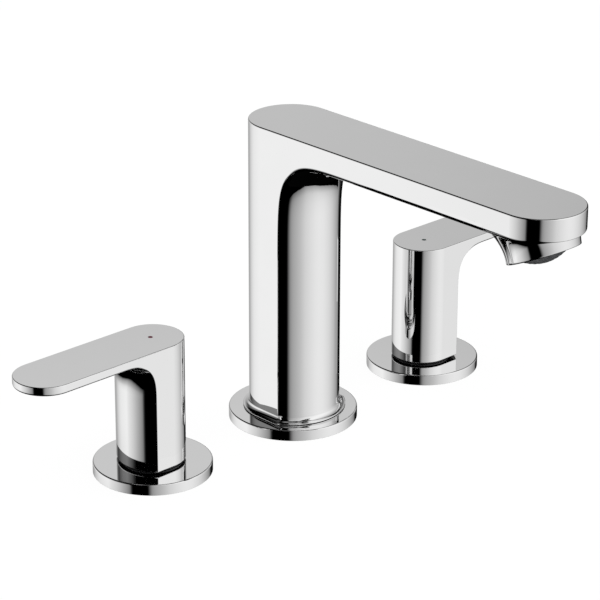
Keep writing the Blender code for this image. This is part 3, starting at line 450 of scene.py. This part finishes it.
def bake(item, cutters=()):
    """Apply the modifiers and cuts, and give flat faces flat reflections."""
    for tool in cutters:
        modifier = item.modifiers.new(tool.name, "BOOLEAN")
        modifier.operation = "DIFFERENCE"
        modifier.solver = "EXACT"
        modifier.object = tool
    item.data.shade_smooth()
    weighted = item.modifiers.new("normals", "WEIGHTED_NORMAL")
    weighted.keep_sharp = True
    weighted.weight = 50
    bpy.context.view_layer.update()
    made = bpy.data.meshes.new_from_object(item.evaluated_get(bpy.context.evaluated_depsgraph_get()))
    item.modifiers.clear()
    old = item.data
    item.data = made
    made.name = item.name
    bpy.data.meshes.remove(old)
    for tool in cutters:
        bpy.data.objects.remove(tool)
    return item


def dress(item, node):
    """Material, slot, body and the CAD node that the piece stands for."""
    slot = SLOTS[node]
    item.data.materials.clear()
    item.data.materials.append(FINISHES[slot])
    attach(item, BODIES[node])
    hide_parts(node)


def turned_piece(node, profile, place=None, segments=128, radius_at=None, cutters=()):
    bm = bmesh.new()
    skin(bm, turned_rows(profile, segments, radius_at), wrap=True)
    if place is not None:
        bmesh.ops.transform(bm, matrix=place, verts=bm.verts)
    dress(bake(new_object(node + "_skin", bm), cutters), node)


def cutter(radius, foot, top, place=None, segments=96):
    bm = bmesh.new()
    skin(bm, turned_rows([(radius, foot), (radius, top)], segments), caps=True)
    if place is not None:
        bmesh.ops.transform(bm, matrix=place, verts=bm.verts)
    return new_object("cutter", bm)


# The spout and the handles

def bow(lever, offset):
    """Front of the column's section, from its -X to its +X corner: an arc, or a parabola on the handles."""
    width = lever["width"] + offset
    sagitta = lever["front"] - lever["corner"]
    first = (lever["under_round"] + FIRST_STRIP) / lever["width"]
    inner = [(-1 + first) + 2 * (1 - first) * i / FRONT_STEPS for i in range(FRONT_STEPS + 1)]
    shares = [-1] + inner + [1]
    if lever is HANDLE:
        return [(width * s, -lever["corner"] - sagitta * (1 - s * s) - offset) for s in shares]
    radius = (lever["width"] ** 2 + sagitta ** 2) / (2 * sagitta)
    centre = radius - lever["front"]
    radius += offset
    half_angle = math.asin(width / radius)
    return [(radius * math.sin(half_angle * s), centre - radius * math.cos(half_angle * s)) for s in shares]


def rear_arc(lever, offset):
    width = lever["width"] + offset
    angles = [math.pi * i / REAR_STEPS for i in range(REAR_STEPS + 1)]
    return [(width * math.cos(angle), lever["rear"] + width * math.sin(angle)) for angle in angles]


def tip_rise(lever, angle):
    """How far the lower edge climbs round the arm's tip. It stays level along the sides."""
    slant = math.degrees(math.asin(abs(math.sin(angle))))
    return lever["tip_rise"] * eased(share_of(slant, *TIP_RISE_SLANTS))


def arch_curve(lever):
    """Forward shift and height of the column's front, evenly spaced by length and by bend."""
    dense = []
    for i in range(ARCH_SAMPLES + 1):
        angle = math.pi / 4 * (1 - math.cos(math.pi * i / ARCH_SAMPLES))
        shift = lever["arch"] * (1 - math.cos(angle) ** (2 / lever["power"]))
        drop = lever["arch"] * (1 - math.sin(angle) ** (2 / lever["power"]))
        dense.append((shift, lever["under"] - drop))
    dense = np.array(dense)
    steps = np.diff(dense, axis=0).T
    length = np.concatenate([[0], np.cumsum(np.hypot(*steps))])
    heading = np.concatenate([[0], np.cumsum(np.abs(np.diff(np.unwrap(np.arctan2(*steps)))))])
    measure = length[1:] / length[-1] + HEADING_WEIGHT * heading / heading[-1]
    measure = np.concatenate([[0], measure])
    spots = np.linspace(0, measure[-1], ARCH_STEPS + 1)
    return [(float(np.interp(s, measure, dense[:, 0])), float(np.interp(s, measure, dense[:, 1])))
            for s in spots]


def tip_edges(bm, lever):
    """Lower edge of the arm's round tip, and the level ledge inside it."""
    tip, ledge = [], []
    for i in range(REAR_STEPS + 1):
        angle = math.pi + math.pi * i / REAR_STEPS
        for edge, width, height in ((tip, lever["width"], lever["under"] + tip_rise(lever, angle)),
                                    (ledge, LEDGE_SHARE * lever["width"], lever["under"])):
            edge.append(bm.verts.new((width * math.cos(angle), -lever["reach"] + width * math.sin(angle),
                                      height)))
    return tip, ledge


def weigh_edges(bm, lever, crown, tip, fronts):
    """Bevel weights of the top's outline, the tip's lower edge and the column's two front corners."""
    weight = bm.edges.layers.float.new("bevel_weight_edge")
    widest = lever["under_round"]
    for i in range(len(crown)):
        bm.edges.get((crown[i - 1], crown[i]))[weight] = lever["top_round"] / widest
    last = fronts[-1]
    bm.edges.get((last[0], tip[0]))[weight] = 1.0
    bm.edges.get((tip[-1], last[-1]))[weight] = 1.0
    for i in range(1, len(tip)):
        turn = abs((i - 0.5) / REAR_STEPS - 0.5) * 180
        size = lever["nose_round"] + (widest - lever["nose_round"]) * share_of(turn, *NOSE_ROUND_TURNS)
        bm.edges.get((tip[i - 1], tip[i]))[weight] = size / widest
    least = lever["corner_round"] / widest
    start = lever["under"] - CORNER_ROUND_DROP * lever["arch"]
    for lower, upper in zip(fronts, fronts[1:]):
        for k in (0, len(lower) - 1):
            height = (lower[k].co.z + upper[k].co.z) / 2
            share = share_of(height, start, lever["under"])
            bm.edges.get((lower[k], upper[k]))[weight] = least + (1 - least) * eased(share)


def lever_mesh(lever, foot_steps):
    """Column, arch and arm in one closed mesh. Each flat side is a single face."""
    bm = bmesh.new()
    rows = []
    for rise, offset in foot_steps:
        outline = rear_arc(lever, offset) + bow(lever, offset)
        rows.append([Vector((x, y, lever["foot"] + rise)) for x, y in outline])
    rings = skin(bm, rows)
    bm.faces.new(rings[0])
    rear, front = rings[-1][:REAR_STEPS + 1], rings[-1][REAR_STEPS + 1:]
    fronts = [front]
    foot_top = lever["foot"] + foot_steps[-1][0]
    for shift, height in arch_curve(lever):
        if height > foot_top + FIRST_ROW_GAP:
            fronts.append([bm.verts.new((x, y - shift, height)) for x, y in bow(lever, 0)])
    for lower, upper in zip(fronts, fronts[1:]):
        strip(bm, lower, upper)
    last = fronts[-1]
    tip, ledge = tip_edges(bm, lever)
    for i in range(1, len(tip)):
        bm.faces.new((tip[i], tip[i - 1], ledge[i - 1], ledge[i]))
    bm.faces.new([tip[-1]] + ledge[::-1] + [tip[0]] + last)
    back = [bm.verts.new((v.co.x, v.co.y, lever["top"])) for v in rear]
    nose = [bm.verts.new((v.co.x, v.co.y, lever["top"])) for v in tip]
    strip(bm, rear, back)
    strip(bm, tip, nose)
    bm.faces.new([rear[-1]] + [row[0] for row in fronts] + [tip[0], nose[0], back[-1]])
    bm.faces.new([rear[0]] + [row[-1] for row in fronts] + [tip[-1], nose[-1], back[0]])
    crown = back + nose
    bm.faces.new(crown)
    weigh_edges(bm, lever, crown, tip, fronts)
    return bm


def bevel(item, width):
    modifier = item.modifiers.new("rounding", "BEVEL")
    modifier.limit_method = "WEIGHT"
    modifier.width = width * MM
    modifier.segments = BEVEL_SEGMENTS
    modifier.use_clamp_overlap = False


def outlet_ring(radius, depth, segments):
    inward = Vector((0, math.sin(OUTLET_TILT), math.cos(OUTLET_TILT)))
    across = Vector((1, 0, 0))
    back = inward.cross(across)
    turns = [TURN * i / segments for i in range(segments)]
    return [OUTLET + inward * depth + radius * (math.cos(t) * across + math.sin(t) * back) for t in turns]


def boss_rows():
    """Recess, rim and outer wall of the outlet. The wall flares back into the arm's underside."""
    lean = Vector((0, math.sin(OUTLET_LEAN), math.cos(OUTLET_LEAN)))
    rows = [outlet_ring(radius, depth, BOSS_SEGMENTS) for radius, depth in OUTLET_LIP]
    rim = outlet_ring(OUTLET_RADIUS, OUTLET_WALL_DEPTH, BOSS_SEGMENTS)
    for step in range(BOSS_STEPS + 1):
        angle = math.pi / 2 * step / BOSS_STEPS
        row = []
        for i, point in enumerate(rim):
            turn = TURN * i / BOSS_SEGMENTS
            ceiling = SPOUT["under"] + BOSS_OVERLAP + max(-math.sin(turn), 0) * OUTLET_FRONT_CLIMB
            climb = (ceiling - point.z) / lean.z * math.sin(angle)
            flare = Vector((OUTLET_SIDE * math.cos(turn), OUTLET_BACK * max(math.sin(turn), 0), 0))
            row.append(point + lean * climb + flare * (1 - math.cos(angle)))
        rows.append(row)
    return rows


def make_aerator():
    """Domed insert in its threaded ring, in the recess of the outlet."""
    ball = (DOME_RADIUS ** 2 + DOME_RISE ** 2) / (2 * DOME_RISE)
    reach = math.asin(DOME_RADIUS / ball)
    dome = []
    for i in range(1, DOME_STEPS + 1):
        angle = reach * i / DOME_STEPS
        ripple = RIPPLE_HEIGHT * math.cos(TURN * RIPPLES * i / DOME_STEPS)
        dome.append((ball * math.sin(angle), -DOME_RISE + ball * (1 - math.cos(angle)) + ripple))
    dome += [(DOME_RADIUS, DOME_DEPTH), (DOME_HOLE, DOME_DEPTH)]
    bm = bmesh.new()
    skin(bm, [outlet_ring(radius, depth, AERATOR_SEGMENTS) for radius, depth in dome], caps=True)
    dress(bake(new_object("aerator_face", bm)), "aerator_insert")
    ring = rounded(band(*AERATOR_RING), SMALL_ROUND)
    bm = bmesh.new()
    skin(bm, [outlet_ring(radius, depth, AERATOR_SEGMENTS) for radius, depth in ring], wrap=True)
    dress(bake(new_object("aerator_ring", bm)), "aerator_housing")


def make_spout():
    steps = [(0, FLARE), (FLARE_EDGE, FLARE)]
    for i in range(FLARE_STEPS + 1):
        angle = math.pi / 2 * i / FLARE_STEPS
        steps.append((FLARE_LIP + FLARE * (1 - math.cos(angle)), FLARE * (1 - math.sin(angle))))
    item = new_object("spout_shell", lever_mesh(SPOUT, steps))
    bevel(item, SPOUT["under_round"])
    socket = cutter(PLATE_HOLES["spout"], 0.0, SPOUT_SOCKET_TOP)
    riser = cutter(RISER_RADIUS, RISER_FOOT, RISER_TOP)
    pin_hole = cutter(PIN_HOLE, 0.0, PIN_HOLE_TOP, at(y=PIN_OFFSET))
    dress(bake(item, [socket, riser, pin_hole]), "spout_body")
    bm = bmesh.new()
    rings = skin(bm, boss_rows())
    bm.faces.new(rings[0])
    dress(bake(new_object("outlet_boss", bm)), "spout_body")


def make_handle(side, direction):
    item = new_object(side + "_handle_shell", lever_mesh(HANDLE, HANDLE_FOOT))
    bevel(item, HANDLE["under_round"])
    bake(item, [cutter(*HANDLE_SOCKET), cutter(*DOT_HOLE, segments=DOT_SEGMENTS)])
    item.data.transform(at(PLACES[side] * MM) @ Matrix.Rotation(direction * math.pi / 2, 4, "Z"))
    dress(item, side + "_handle")
    # Chrome with painted shade on the handle's underside
    item.data.materials[0] = SHADED_LEVER_CHROME
    bm = bmesh.new()
    skin(bm, turned_rows(DOT_PROFILE, DOT_SEGMENTS), caps=True)
    bmesh.ops.transform(bm, matrix=at(PLACES[side]), verts=bm.verts)
    dress(bake(new_object(side + "_dot", bm)), side + "_index_dot")


# Plates, rings and what lies below the deck

def make_plates():
    for unit, x in PLACES.items():
        radius, hole, lip = PLATE_RADII[unit], PLATE_HOLES[unit], PLATE_LIPS[unit]
        outer = radius - PLATE_RIM
        inner = outer - GROOVE_WIDTH
        profile = [(hole, 0), (inner, 0), (inner, GROOVE_HEIGHT), (outer, GROOVE_HEIGHT), (outer, 0),
                   (radius, 0), (radius, PLATE_TOP), (lip, PLATE_TOP)]
        if lip < hole:
            profile += [(lip, PLATE_LIP_FOOT), (hole, PLATE_LIP_FOOT)]
        cuts = [cutter(PIN_HOLE, *PIN_SLOT, at(y=PIN_OFFSET), PIN_SEGMENTS)] if unit == "spout" else []
        profile = rounded(profile, PLATE_ROUND, PLATE_ROUND_STEPS, PLATE_FOOT_ROUND)
        turned_piece(unit + "_escutcheon", profile, at(x), PLATE_SEGMENTS, cutters=cuts)
    for side in SIDES:
        turned_piece(side + "_glide_ring", rounded(band(*GLIDE_RING), GLIDE_RING_ROUND), at(PLACES[side]))
    for unit, x in PLACES.items():
        outer = PLATE_RADII[unit] - GASKET_INSET
        profile = rounded(band(outer - GASKET_WIDTH, outer, 0, GASKET_HEIGHT), SOFT_ROUND)
        turned_piece(unit + "_gasket", profile, at(x))


def thread(outer, foot, top):
    """Radius of a helical thread between two heights, fading out at both ends."""
    def radius_at(radius, height, turn):
        if abs(radius - outer) > TOUCH or not foot <= height <= top:
            return radius
        fade = min(1.0, (height - foot) / THREAD_PITCH, (top - height) / THREAD_PITCH)
        phase = (height / THREAD_PITCH - turn / TURN) % 1.0
        ridge = min(1.0, THREAD_SLOPE * abs(phase - 0.5))
        return radius - THREAD_DEPTH * (1 - ridge) * fade
    return radius_at


def thread_rows(outer, foot, top):
    count = int((top - foot) / THREAD_PITCH * THREAD_ROWS_PER_TURN)
    return [(outer, foot + (top - foot) * i / count) for i in range(count + 1)]


def lock_nut(prefix, corner, inner, x):
    """Hexagonal nut with chamfered corners and a plain round hole."""
    flat = corner * math.cos(math.pi / 6)
    middle, half = (NUT_FOOT + NUT_TOP) / 2, (NUT_TOP - NUT_FOOT) / 2

    def chamfered(radius, height, turn):
        if radius < corner - TOUCH:
            return radius
        drop = max(0.0, abs(height - middle) - half + NUT_CHAMFER)
        return min(flat / math.cos((turn % (TURN / 6)) - math.pi / 6), corner - drop * NUT_CHAMFER_SLOPE)

    side = [(corner, NUT_FOOT + (NUT_TOP - NUT_FOOT) * i / NUT_STEPS) for i in range(NUT_STEPS + 1)]
    profile = ([(inner, NUT_FOOT + NUT_EDGE), (inner + NUT_EDGE, NUT_FOOT)] + side
               + [(inner + NUT_EDGE, NUT_TOP), (inner, NUT_TOP - NUT_EDGE)])
    turned_piece(prefix + "_lock_nut", profile, at(x), NUT_SEGMENTS, chamfered)


def make_clamp(prefix, shank, x):
    inner, outer = shank + CLAMP_GAP, shank + WASHER_WIDTH
    rubber = band(inner, outer, RUBBER_WASHER_FOOT, DECK_UNDERSIDE)
    turned_piece(prefix + "_rubber_washer", rounded(rubber, SOFT_ROUND), at(x))
    steel = band(inner, outer, STEEL_WASHER_FOOT, STEEL_WASHER_TOP)
    turned_piece(prefix + "_steel_washer", rounded(steel, SMALL_ROUND), at(x))
    lock_nut(prefix, shank + NUT_WIDTH, inner, x)


def make_underside():
    shank = SHANK_RADII["spout"]
    rows = SHANK_BELOW_THREAD + thread_rows(shank, THREAD_FOOT, THREAD_TOP) + SHANK_ABOVE_THREAD
    turned_piece("spout_shank", rows, segments=SHANK_SEGMENTS,
                 radius_at=thread(shank, THREAD_FOOT, THREAD_TOP))
    for unit, x in PLACES.items():
        make_clamp(unit, SHANK_RADII[unit], x)


WELD_DISTANCE = 0.000005
SHARP_ANGLE = math.radians(35)
ABOVE_DECK = 0.003


def dress_cad():
    """Finish for every CAD node that stays in view."""
    for name, node in frame["nodes"].items():
        node.data.materials.clear()
        node.data.materials.append(FINISHES[SLOTS[name]])
        node.data.shade_smooth()
        weld = node.modifiers.new("weld", "WELD")
        weld.merge_threshold = WELD_DISTANCE
        smooth = node.modifiers.new("edges", "EDGE_SPLIT")
        smooth.split_angle = SHARP_ANGLE


def hide_from_mirrors():
    """Only the chrome and the dark rings above the deck show in the polished faces, as in the photograph."""
    for item in bpy.data.objects:
        if item.type == "MESH":
            above = max((item.matrix_world @ Vector(c)).z for c in item.bound_box) > ABOVE_DECK
            chrome = any(m.name.startswith(FINISHES["chrome"].name) for m in item.data.materials)
            item.visible_glossy = above and (chrome or "glide_ring" in item.name)


# Stage, light and camera

# What the polished faces mirror: a studio of pale walls, black cards and a black ground. Each table runs
# round the compass in degrees from the photographer's side. WALLS are tones from the horizon down, ROOF tones
# above it, CEILING the height at which the light ends and GROUND the angle below the horizon at which the
# black ground starts. FALL gives the light's share from the ground's edge up to where the walls' tones hold.
WALLS_LEFT = [(-180, 185), (-171, 185), (-165, 178), (-158, 162), (-152, 165), (-147, 182), (-141, 198),
              (-135, 210), (-129, 219), (-122, 228), (-115, 232), (-105, 235), (-98, 237), (-92, 238),
              (-88, 233), (-85, 227), (-77, 217), (-70, 207), (-62, 191), (-56, 176), (-50, 160),
              (-45, 142), (-42, 125), (-40, 80), (-38.5, 38), (-37, 10), (-35, 0), (-20, 0)]
WALLS_FRONT = [(-20, 0), (-8.5, 0), (-7, 8), (-5.5, 38), (-4, 80), (-1, 121), (1, 141), (4, 153), (7.5, 163),
               (15, 175), (24, 189), (35, 208), (45, 217), (60, 227), (70, 230), (82, 228), (90, 223),
               (100, 215), (110, 203), (118, 189), (125, 176)]
WALLS_RIGHT = WALLS_FRONT + [(131, 162), (137, 148), (142, 125), (146, 62), (150, 24), (160, 8), (172, 8),
                             (180, 30)]
ROOF_LEFT = [(-180, 177), (-170, 177), (-158, 145), (-150, 85), (-142, 65), (-133, 95), (-115, 122),
             (-95, 130), (-85, 112), (-75, 85), (-68, 45), (-62, 0), (-20, 0)]
ROOF_RIGHT = WALLS_FRONT + [(137, 148), (142, 90), (147, 30), (154, 18), (160, 70), (167, 140), (174, 169),
                            (176, 172), (178, 175), (180, 177)]
GROUND = [(-180, 30), (-150, 30), (-140, 31.5), (-130, 33), (-120, 35), (-110, 37), (-95, 41), (-80, 43),
          (-70, 41), (-60, 38), (-50, 34), (-42, 31), (-12, 30), (-8, 34), (0, 41.5), (10, 48.5), (20, 54),
          (30, 59.5), (40, 63), (50, 62), (60, 61), (70, 58.5), (80, 54.5), (90, 51), (100, 47),
          (110, 42.5), (120, 37.5), (130, 32.5), (140, 28), (155, 30), (180, 30)]
CEILING = [(-180, 30), (-145, 31), (-115, 64), (-20, 66), (130, 66), (150, 31), (180, 30)]
FALL_RIGHT = [(0, 0), (0.05, 0.35), (0.1, 0.43), (0.2, 0.52), (0.3, 0.61), (0.4, 0.72), (0.5, 0.82),
              (0.6, 0.87), (0.8, 0.95), (1, 1)]
FALL_LEFT = [(0, 0), (0.08, 0.08), (0.24, 0.27), (0.43, 0.44), (0.62, 0.6), (0.81, 0.86), (1, 1)]
SEAM = -20
ROOF_FADE = (2.0, 16.0)
CEILING_FADE = 4.0
GROUND_TOP = -25.0

# The far side is a little paler above the walls, a black card stands on the left and the zenith is pale
FAR_SIDE = [(-180, 1), (-168, 1), (-160, 0), (160, 0), (168, 1), (180, 1)]
FAR_SIDE_RISE = (21.3, 25.0)
FAR_SIDE_LIFT = 0.12
LEFT_CARD = [(-180, 0), (-172, 0), (-160, 1), (-66, 1), (-60, 0), (180, 0)]
LEFT_CARD_RISE = [(-90, 0), (24, 0), (32, 1), (47, 1), (55, 0.65), (90, 0.65)]
ZENITH_RISE = (72.0, 82.0)
ZENITH_TONE = 125

# Light for all other rays, and the floor
PLAIN_LIGHT = 0.85
FLOOR_SIZE = 3000
FLOOR_DROP = 0.02
FLOOR_TONE = 0.9
FLOOR_ROUGHNESS = 0.9
FLOOR_GLOW = 1.02
FLOOR_GLOW_SHARE = 0.93

# Lamps: name, place, size and power, in metres and watts
LAMP_TARGET = Vector((0, -0.04, 0.06))
LAMPS = (("key", (-0.9, -0.7, 1.3), 0.9, 6), ("fill", (1.1, -0.4, 0.9), 1.2, 3))

# One-sided cards: name, corner, width and height vectors in millimetres, and tones along one axis
FLAGS = (
    ("dark_flag", (22, -9.5, 16), (0, -5.1, 0), (0, 0, 92), "Y", [(-14.6, 10), (-9.5, 5)]),
    ("right_flag", (22, -14.6, 16), (0, -9.0, 0), (0, 0, 34), "Y",
     [(-23.6, 195), (-18.5, 160), (-14.6, 146)]),
    ("left_flag", (-60, -86, 95), (0, 30, 0), (0, 0, 10.5), "Z", [(95, 230), (105.5, 238)]),
    ("under_flag", (-46, -108, 105), (42, 0, 0), (0, 74, 0), "Y", [(-108, 2), (-34, 6)]),
    ("arch_flag", (-18, -24, 113), (36, 0, 0), (0, 9, 0), "Y", [(-24, 2), (-15, 4)]),
)


def studio_tones(graph):
    """Light of the studio in the direction that a mirror ray takes."""
    way = graph.add("TexCoord").outputs["Generated"]

    def along(vector):
        return graph.add("VectorMath", {0: way, 1: vector}, operation="DOT_PRODUCT").outputs["Value"]

    right = along((math.cos(VIEW_SIDE), -math.sin(VIEW_SIDE), 0))
    front = along((-math.sin(VIEW_SIDE), -math.cos(VIEW_SIDE), 0))
    compass = graph.maths("ARCTAN2", right, front)
    around = graph.spread(compass, -math.pi, math.pi)
    rise = graph.product(graph.maths("ARCSINE", along((0, 0, 1))), 180 / math.pi)
    climb = graph.spread(rise, -90.0, 90.0)
    on_right = graph.maths("GREATER_THAN", compass, math.radians(SEAM))

    def round_compass(stops, convert=float, curve="LINEAR"):
        return graph.table(stops, around, -180, 180, convert, curve)

    def angles(stops, curve="LINEAR"):
        return round_compass(stops, lambda angle: angle / 90, curve)

    walls = graph.blend(on_right, round_compass(WALLS_LEFT, tone), round_compass(WALLS_RIGHT, tone))
    roof = graph.blend(on_right, round_compass(ROOF_LEFT, tone), round_compass(ROOF_RIGHT, tone))
    far = graph.product(graph.spread(rise, *FAR_SIDE_RISE), round_compass(FAR_SIDE))
    lift = graph.maths("ADD", graph.product(far, FAR_SIDE_LIFT), 1.0)
    roof = graph.product(graph.product(roof, 1 / MIRROR), lift)
    tones = graph.blend(graph.spread(rise, *ROOF_FADE, "SMOOTHSTEP"), walls, roof)
    card = graph.product(round_compass(LEFT_CARD), graph.table(LEFT_CARD_RISE, climb, -90, 90))
    tones = graph.product(tones, graph.rest(card))
    top = graph.product(angles(CEILING), 90.0)
    dark = graph.spread(rise, top, graph.maths("ADD", top, CEILING_FADE), "SMOOTHSTEP")
    tones = graph.product(tones, graph.rest(dark))
    zenith = graph.product(graph.spread(rise, *ZENITH_RISE, "SMOOTHSTEP"), tone(ZENITH_TONE))
    tones = graph.maths("ADD", tones, zenith)
    edge = graph.product(angles(GROUND, "CARDINAL"), -90.0)
    height = graph.spread(rise, edge, GROUND_TOP)
    left, right = (graph.table(stops, height, 0, 1) for stops in (FALL_LEFT, FALL_RIGHT))
    ground = graph.blend(on_right, left, right)
    return graph.product(graph.product(tones, ground), 1 / MIRROR)


def make_world():
    """The studio for mirror rays, plain light for the others and white behind the object."""
    world = bpy.data.worlds.new("studio")
    bpy.context.scene.world = world
    graph = new_graph(world)
    graph.nodes.clear()
    mirrored = graph.add("Background", {"Color": studio_tones(graph)})
    plain = graph.add("Background", {"Color": (1, 1, 1, 1), "Strength": PLAIN_LIGHT})
    white = graph.add("Background", {"Color": (1, 1, 1, 1)})
    ray = graph.add("LightPath").outputs
    light = graph.mix(ray["Is Glossy Ray"], plain, mirrored)
    shown = graph.maths("MAXIMUM", ray["Is Camera Ray"], ray["Is Transmission Ray"])
    graph.add("OutputWorld", {"Surface": graph.mix(shown, light, white).outputs[0]})


def make_floor():
    """A pale floor that is close to white for the camera."""
    bm = bmesh.new()
    bmesh.ops.create_grid(bm, x_segments=8, y_segments=8, size=FLOOR_SIZE)
    floor = new_object("floor", bm)
    floor.location.z = -FLOOR_DROP * MM
    material = bpy.data.materials.new("pale_floor")
    graph = new_graph(material)
    shader = graph.nodes["Principled BSDF"]
    graph.feed(shader, {"Base Color": (FLOOR_TONE, FLOOR_TONE, FLOOR_TONE, 1), "Roughness": FLOOR_ROUGHNESS})
    glow = graph.add("Emission", {"Strength": FLOOR_GLOW})
    shown = graph.product(graph.add("LightPath").outputs["Is Camera Ray"], FLOOR_GLOW_SHARE)
    mixed = graph.mix(shown, shader, glow)
    graph.feed(graph.nodes["Material Output"], {"Surface": mixed.outputs[0]})
    floor.data.materials.append(material)
    floor.visible_glossy = False


def make_flag(name, corner, across, climb, axis, stops):
    """A studio card that only mirrors see, and only its front. Its tones follow one axis."""
    start, across, climb = Vector(corner), Vector(across), Vector(climb)
    bm = bmesh.new()
    bm.faces.new([bm.verts.new(MM * point)
                  for point in (start, start + across, start + across + climb, start + climb)])
    card = link_mesh(name, bm)
    material = bpy.data.materials.new(name)
    graph = new_graph(material)
    graph.nodes.remove(graph.nodes["Principled BSDF"])
    place = graph.add("SeparateXYZ", {0: graph.add("TexCoord").outputs["Object"]}).outputs[axis]
    low, high = stops[0][0], stops[-1][0]
    tones = graph.table(stops, graph.spread(place, low * MM, high * MM), low, high, tone)
    glow = graph.add("Emission", {"Color": tones, "Strength": 1 / MIRROR})
    behind = graph.add("NewGeometry").outputs["Backfacing"]
    mixed = graph.mix(behind, glow, graph.add("BsdfTransparent"))
    graph.feed(graph.nodes["Material Output"], {"Surface": mixed.outputs[0]})
    card.data.materials.append(material)
    card.visible_camera = card.visible_diffuse = card.visible_transmission = card.visible_shadow = False
    card.visible_volume_scatter = False


def make_lamp(name, place, size, power):
    data = bpy.data.lights.new(name, "AREA")
    data.shape = "DISK"
    data.size = size
    data.energy = power
    lamp = bpy.data.objects.new(name, data)
    bpy.context.collection.objects.link(lamp)
    lamp.location = place
    lamp.rotation_euler = (LAMP_TARGET - Vector(place)).to_track_quat("-Z", "Y").to_euler()
    lamp.visible_glossy = False


def make_camera():
    data = bpy.data.cameras.new("camera")
    camera = bpy.data.objects.new("camera", data)
    bpy.context.collection.objects.link(camera)
    back = Vector((-math.sin(VIEW_SIDE) * math.cos(VIEW_RISE), -math.cos(VIEW_SIDE) * math.cos(VIEW_RISE),
                   math.sin(VIEW_RISE)))
    camera.location = VIEW_TARGET + back * VIEW_DISTANCE
    roll = Matrix.Rotation(VIEW_ROLL, 3, "Z").to_quaternion()
    camera.rotation_mode = "QUATERNION"
    camera.rotation_quaternion = (-back).to_track_quat("-Z", "Y") @ roll
    data.sensor_width = SENSOR
    data.lens = SENSOR * PHOTO_FOCUS / PHOTO_SIZE
    data.shift_x = (PHOTO_SIZE / 2 - PHOTO_CENTRE[0]) / PHOTO_SIZE
    data.shift_y = -(PHOTO_SIZE / 2 - PHOTO_CENTRE[1]) / PHOTO_SIZE
    data.clip_start, data.clip_end = 0.05, 20
    bpy.context.scene.camera = camera


make_camera()
dress_cad()
make_spout()
make_aerator()
for side, direction in SIDES.items():
    make_handle(side, direction)
make_plates()
make_underside()
hide_from_mirrors()
make_floor()
for flag in FLAGS:
    make_flag(*flag)
make_world()
for lamp in LAMPS:
    make_lamp(*lamp)
bpy.context.scene.view_settings.view_transform = "Standard"
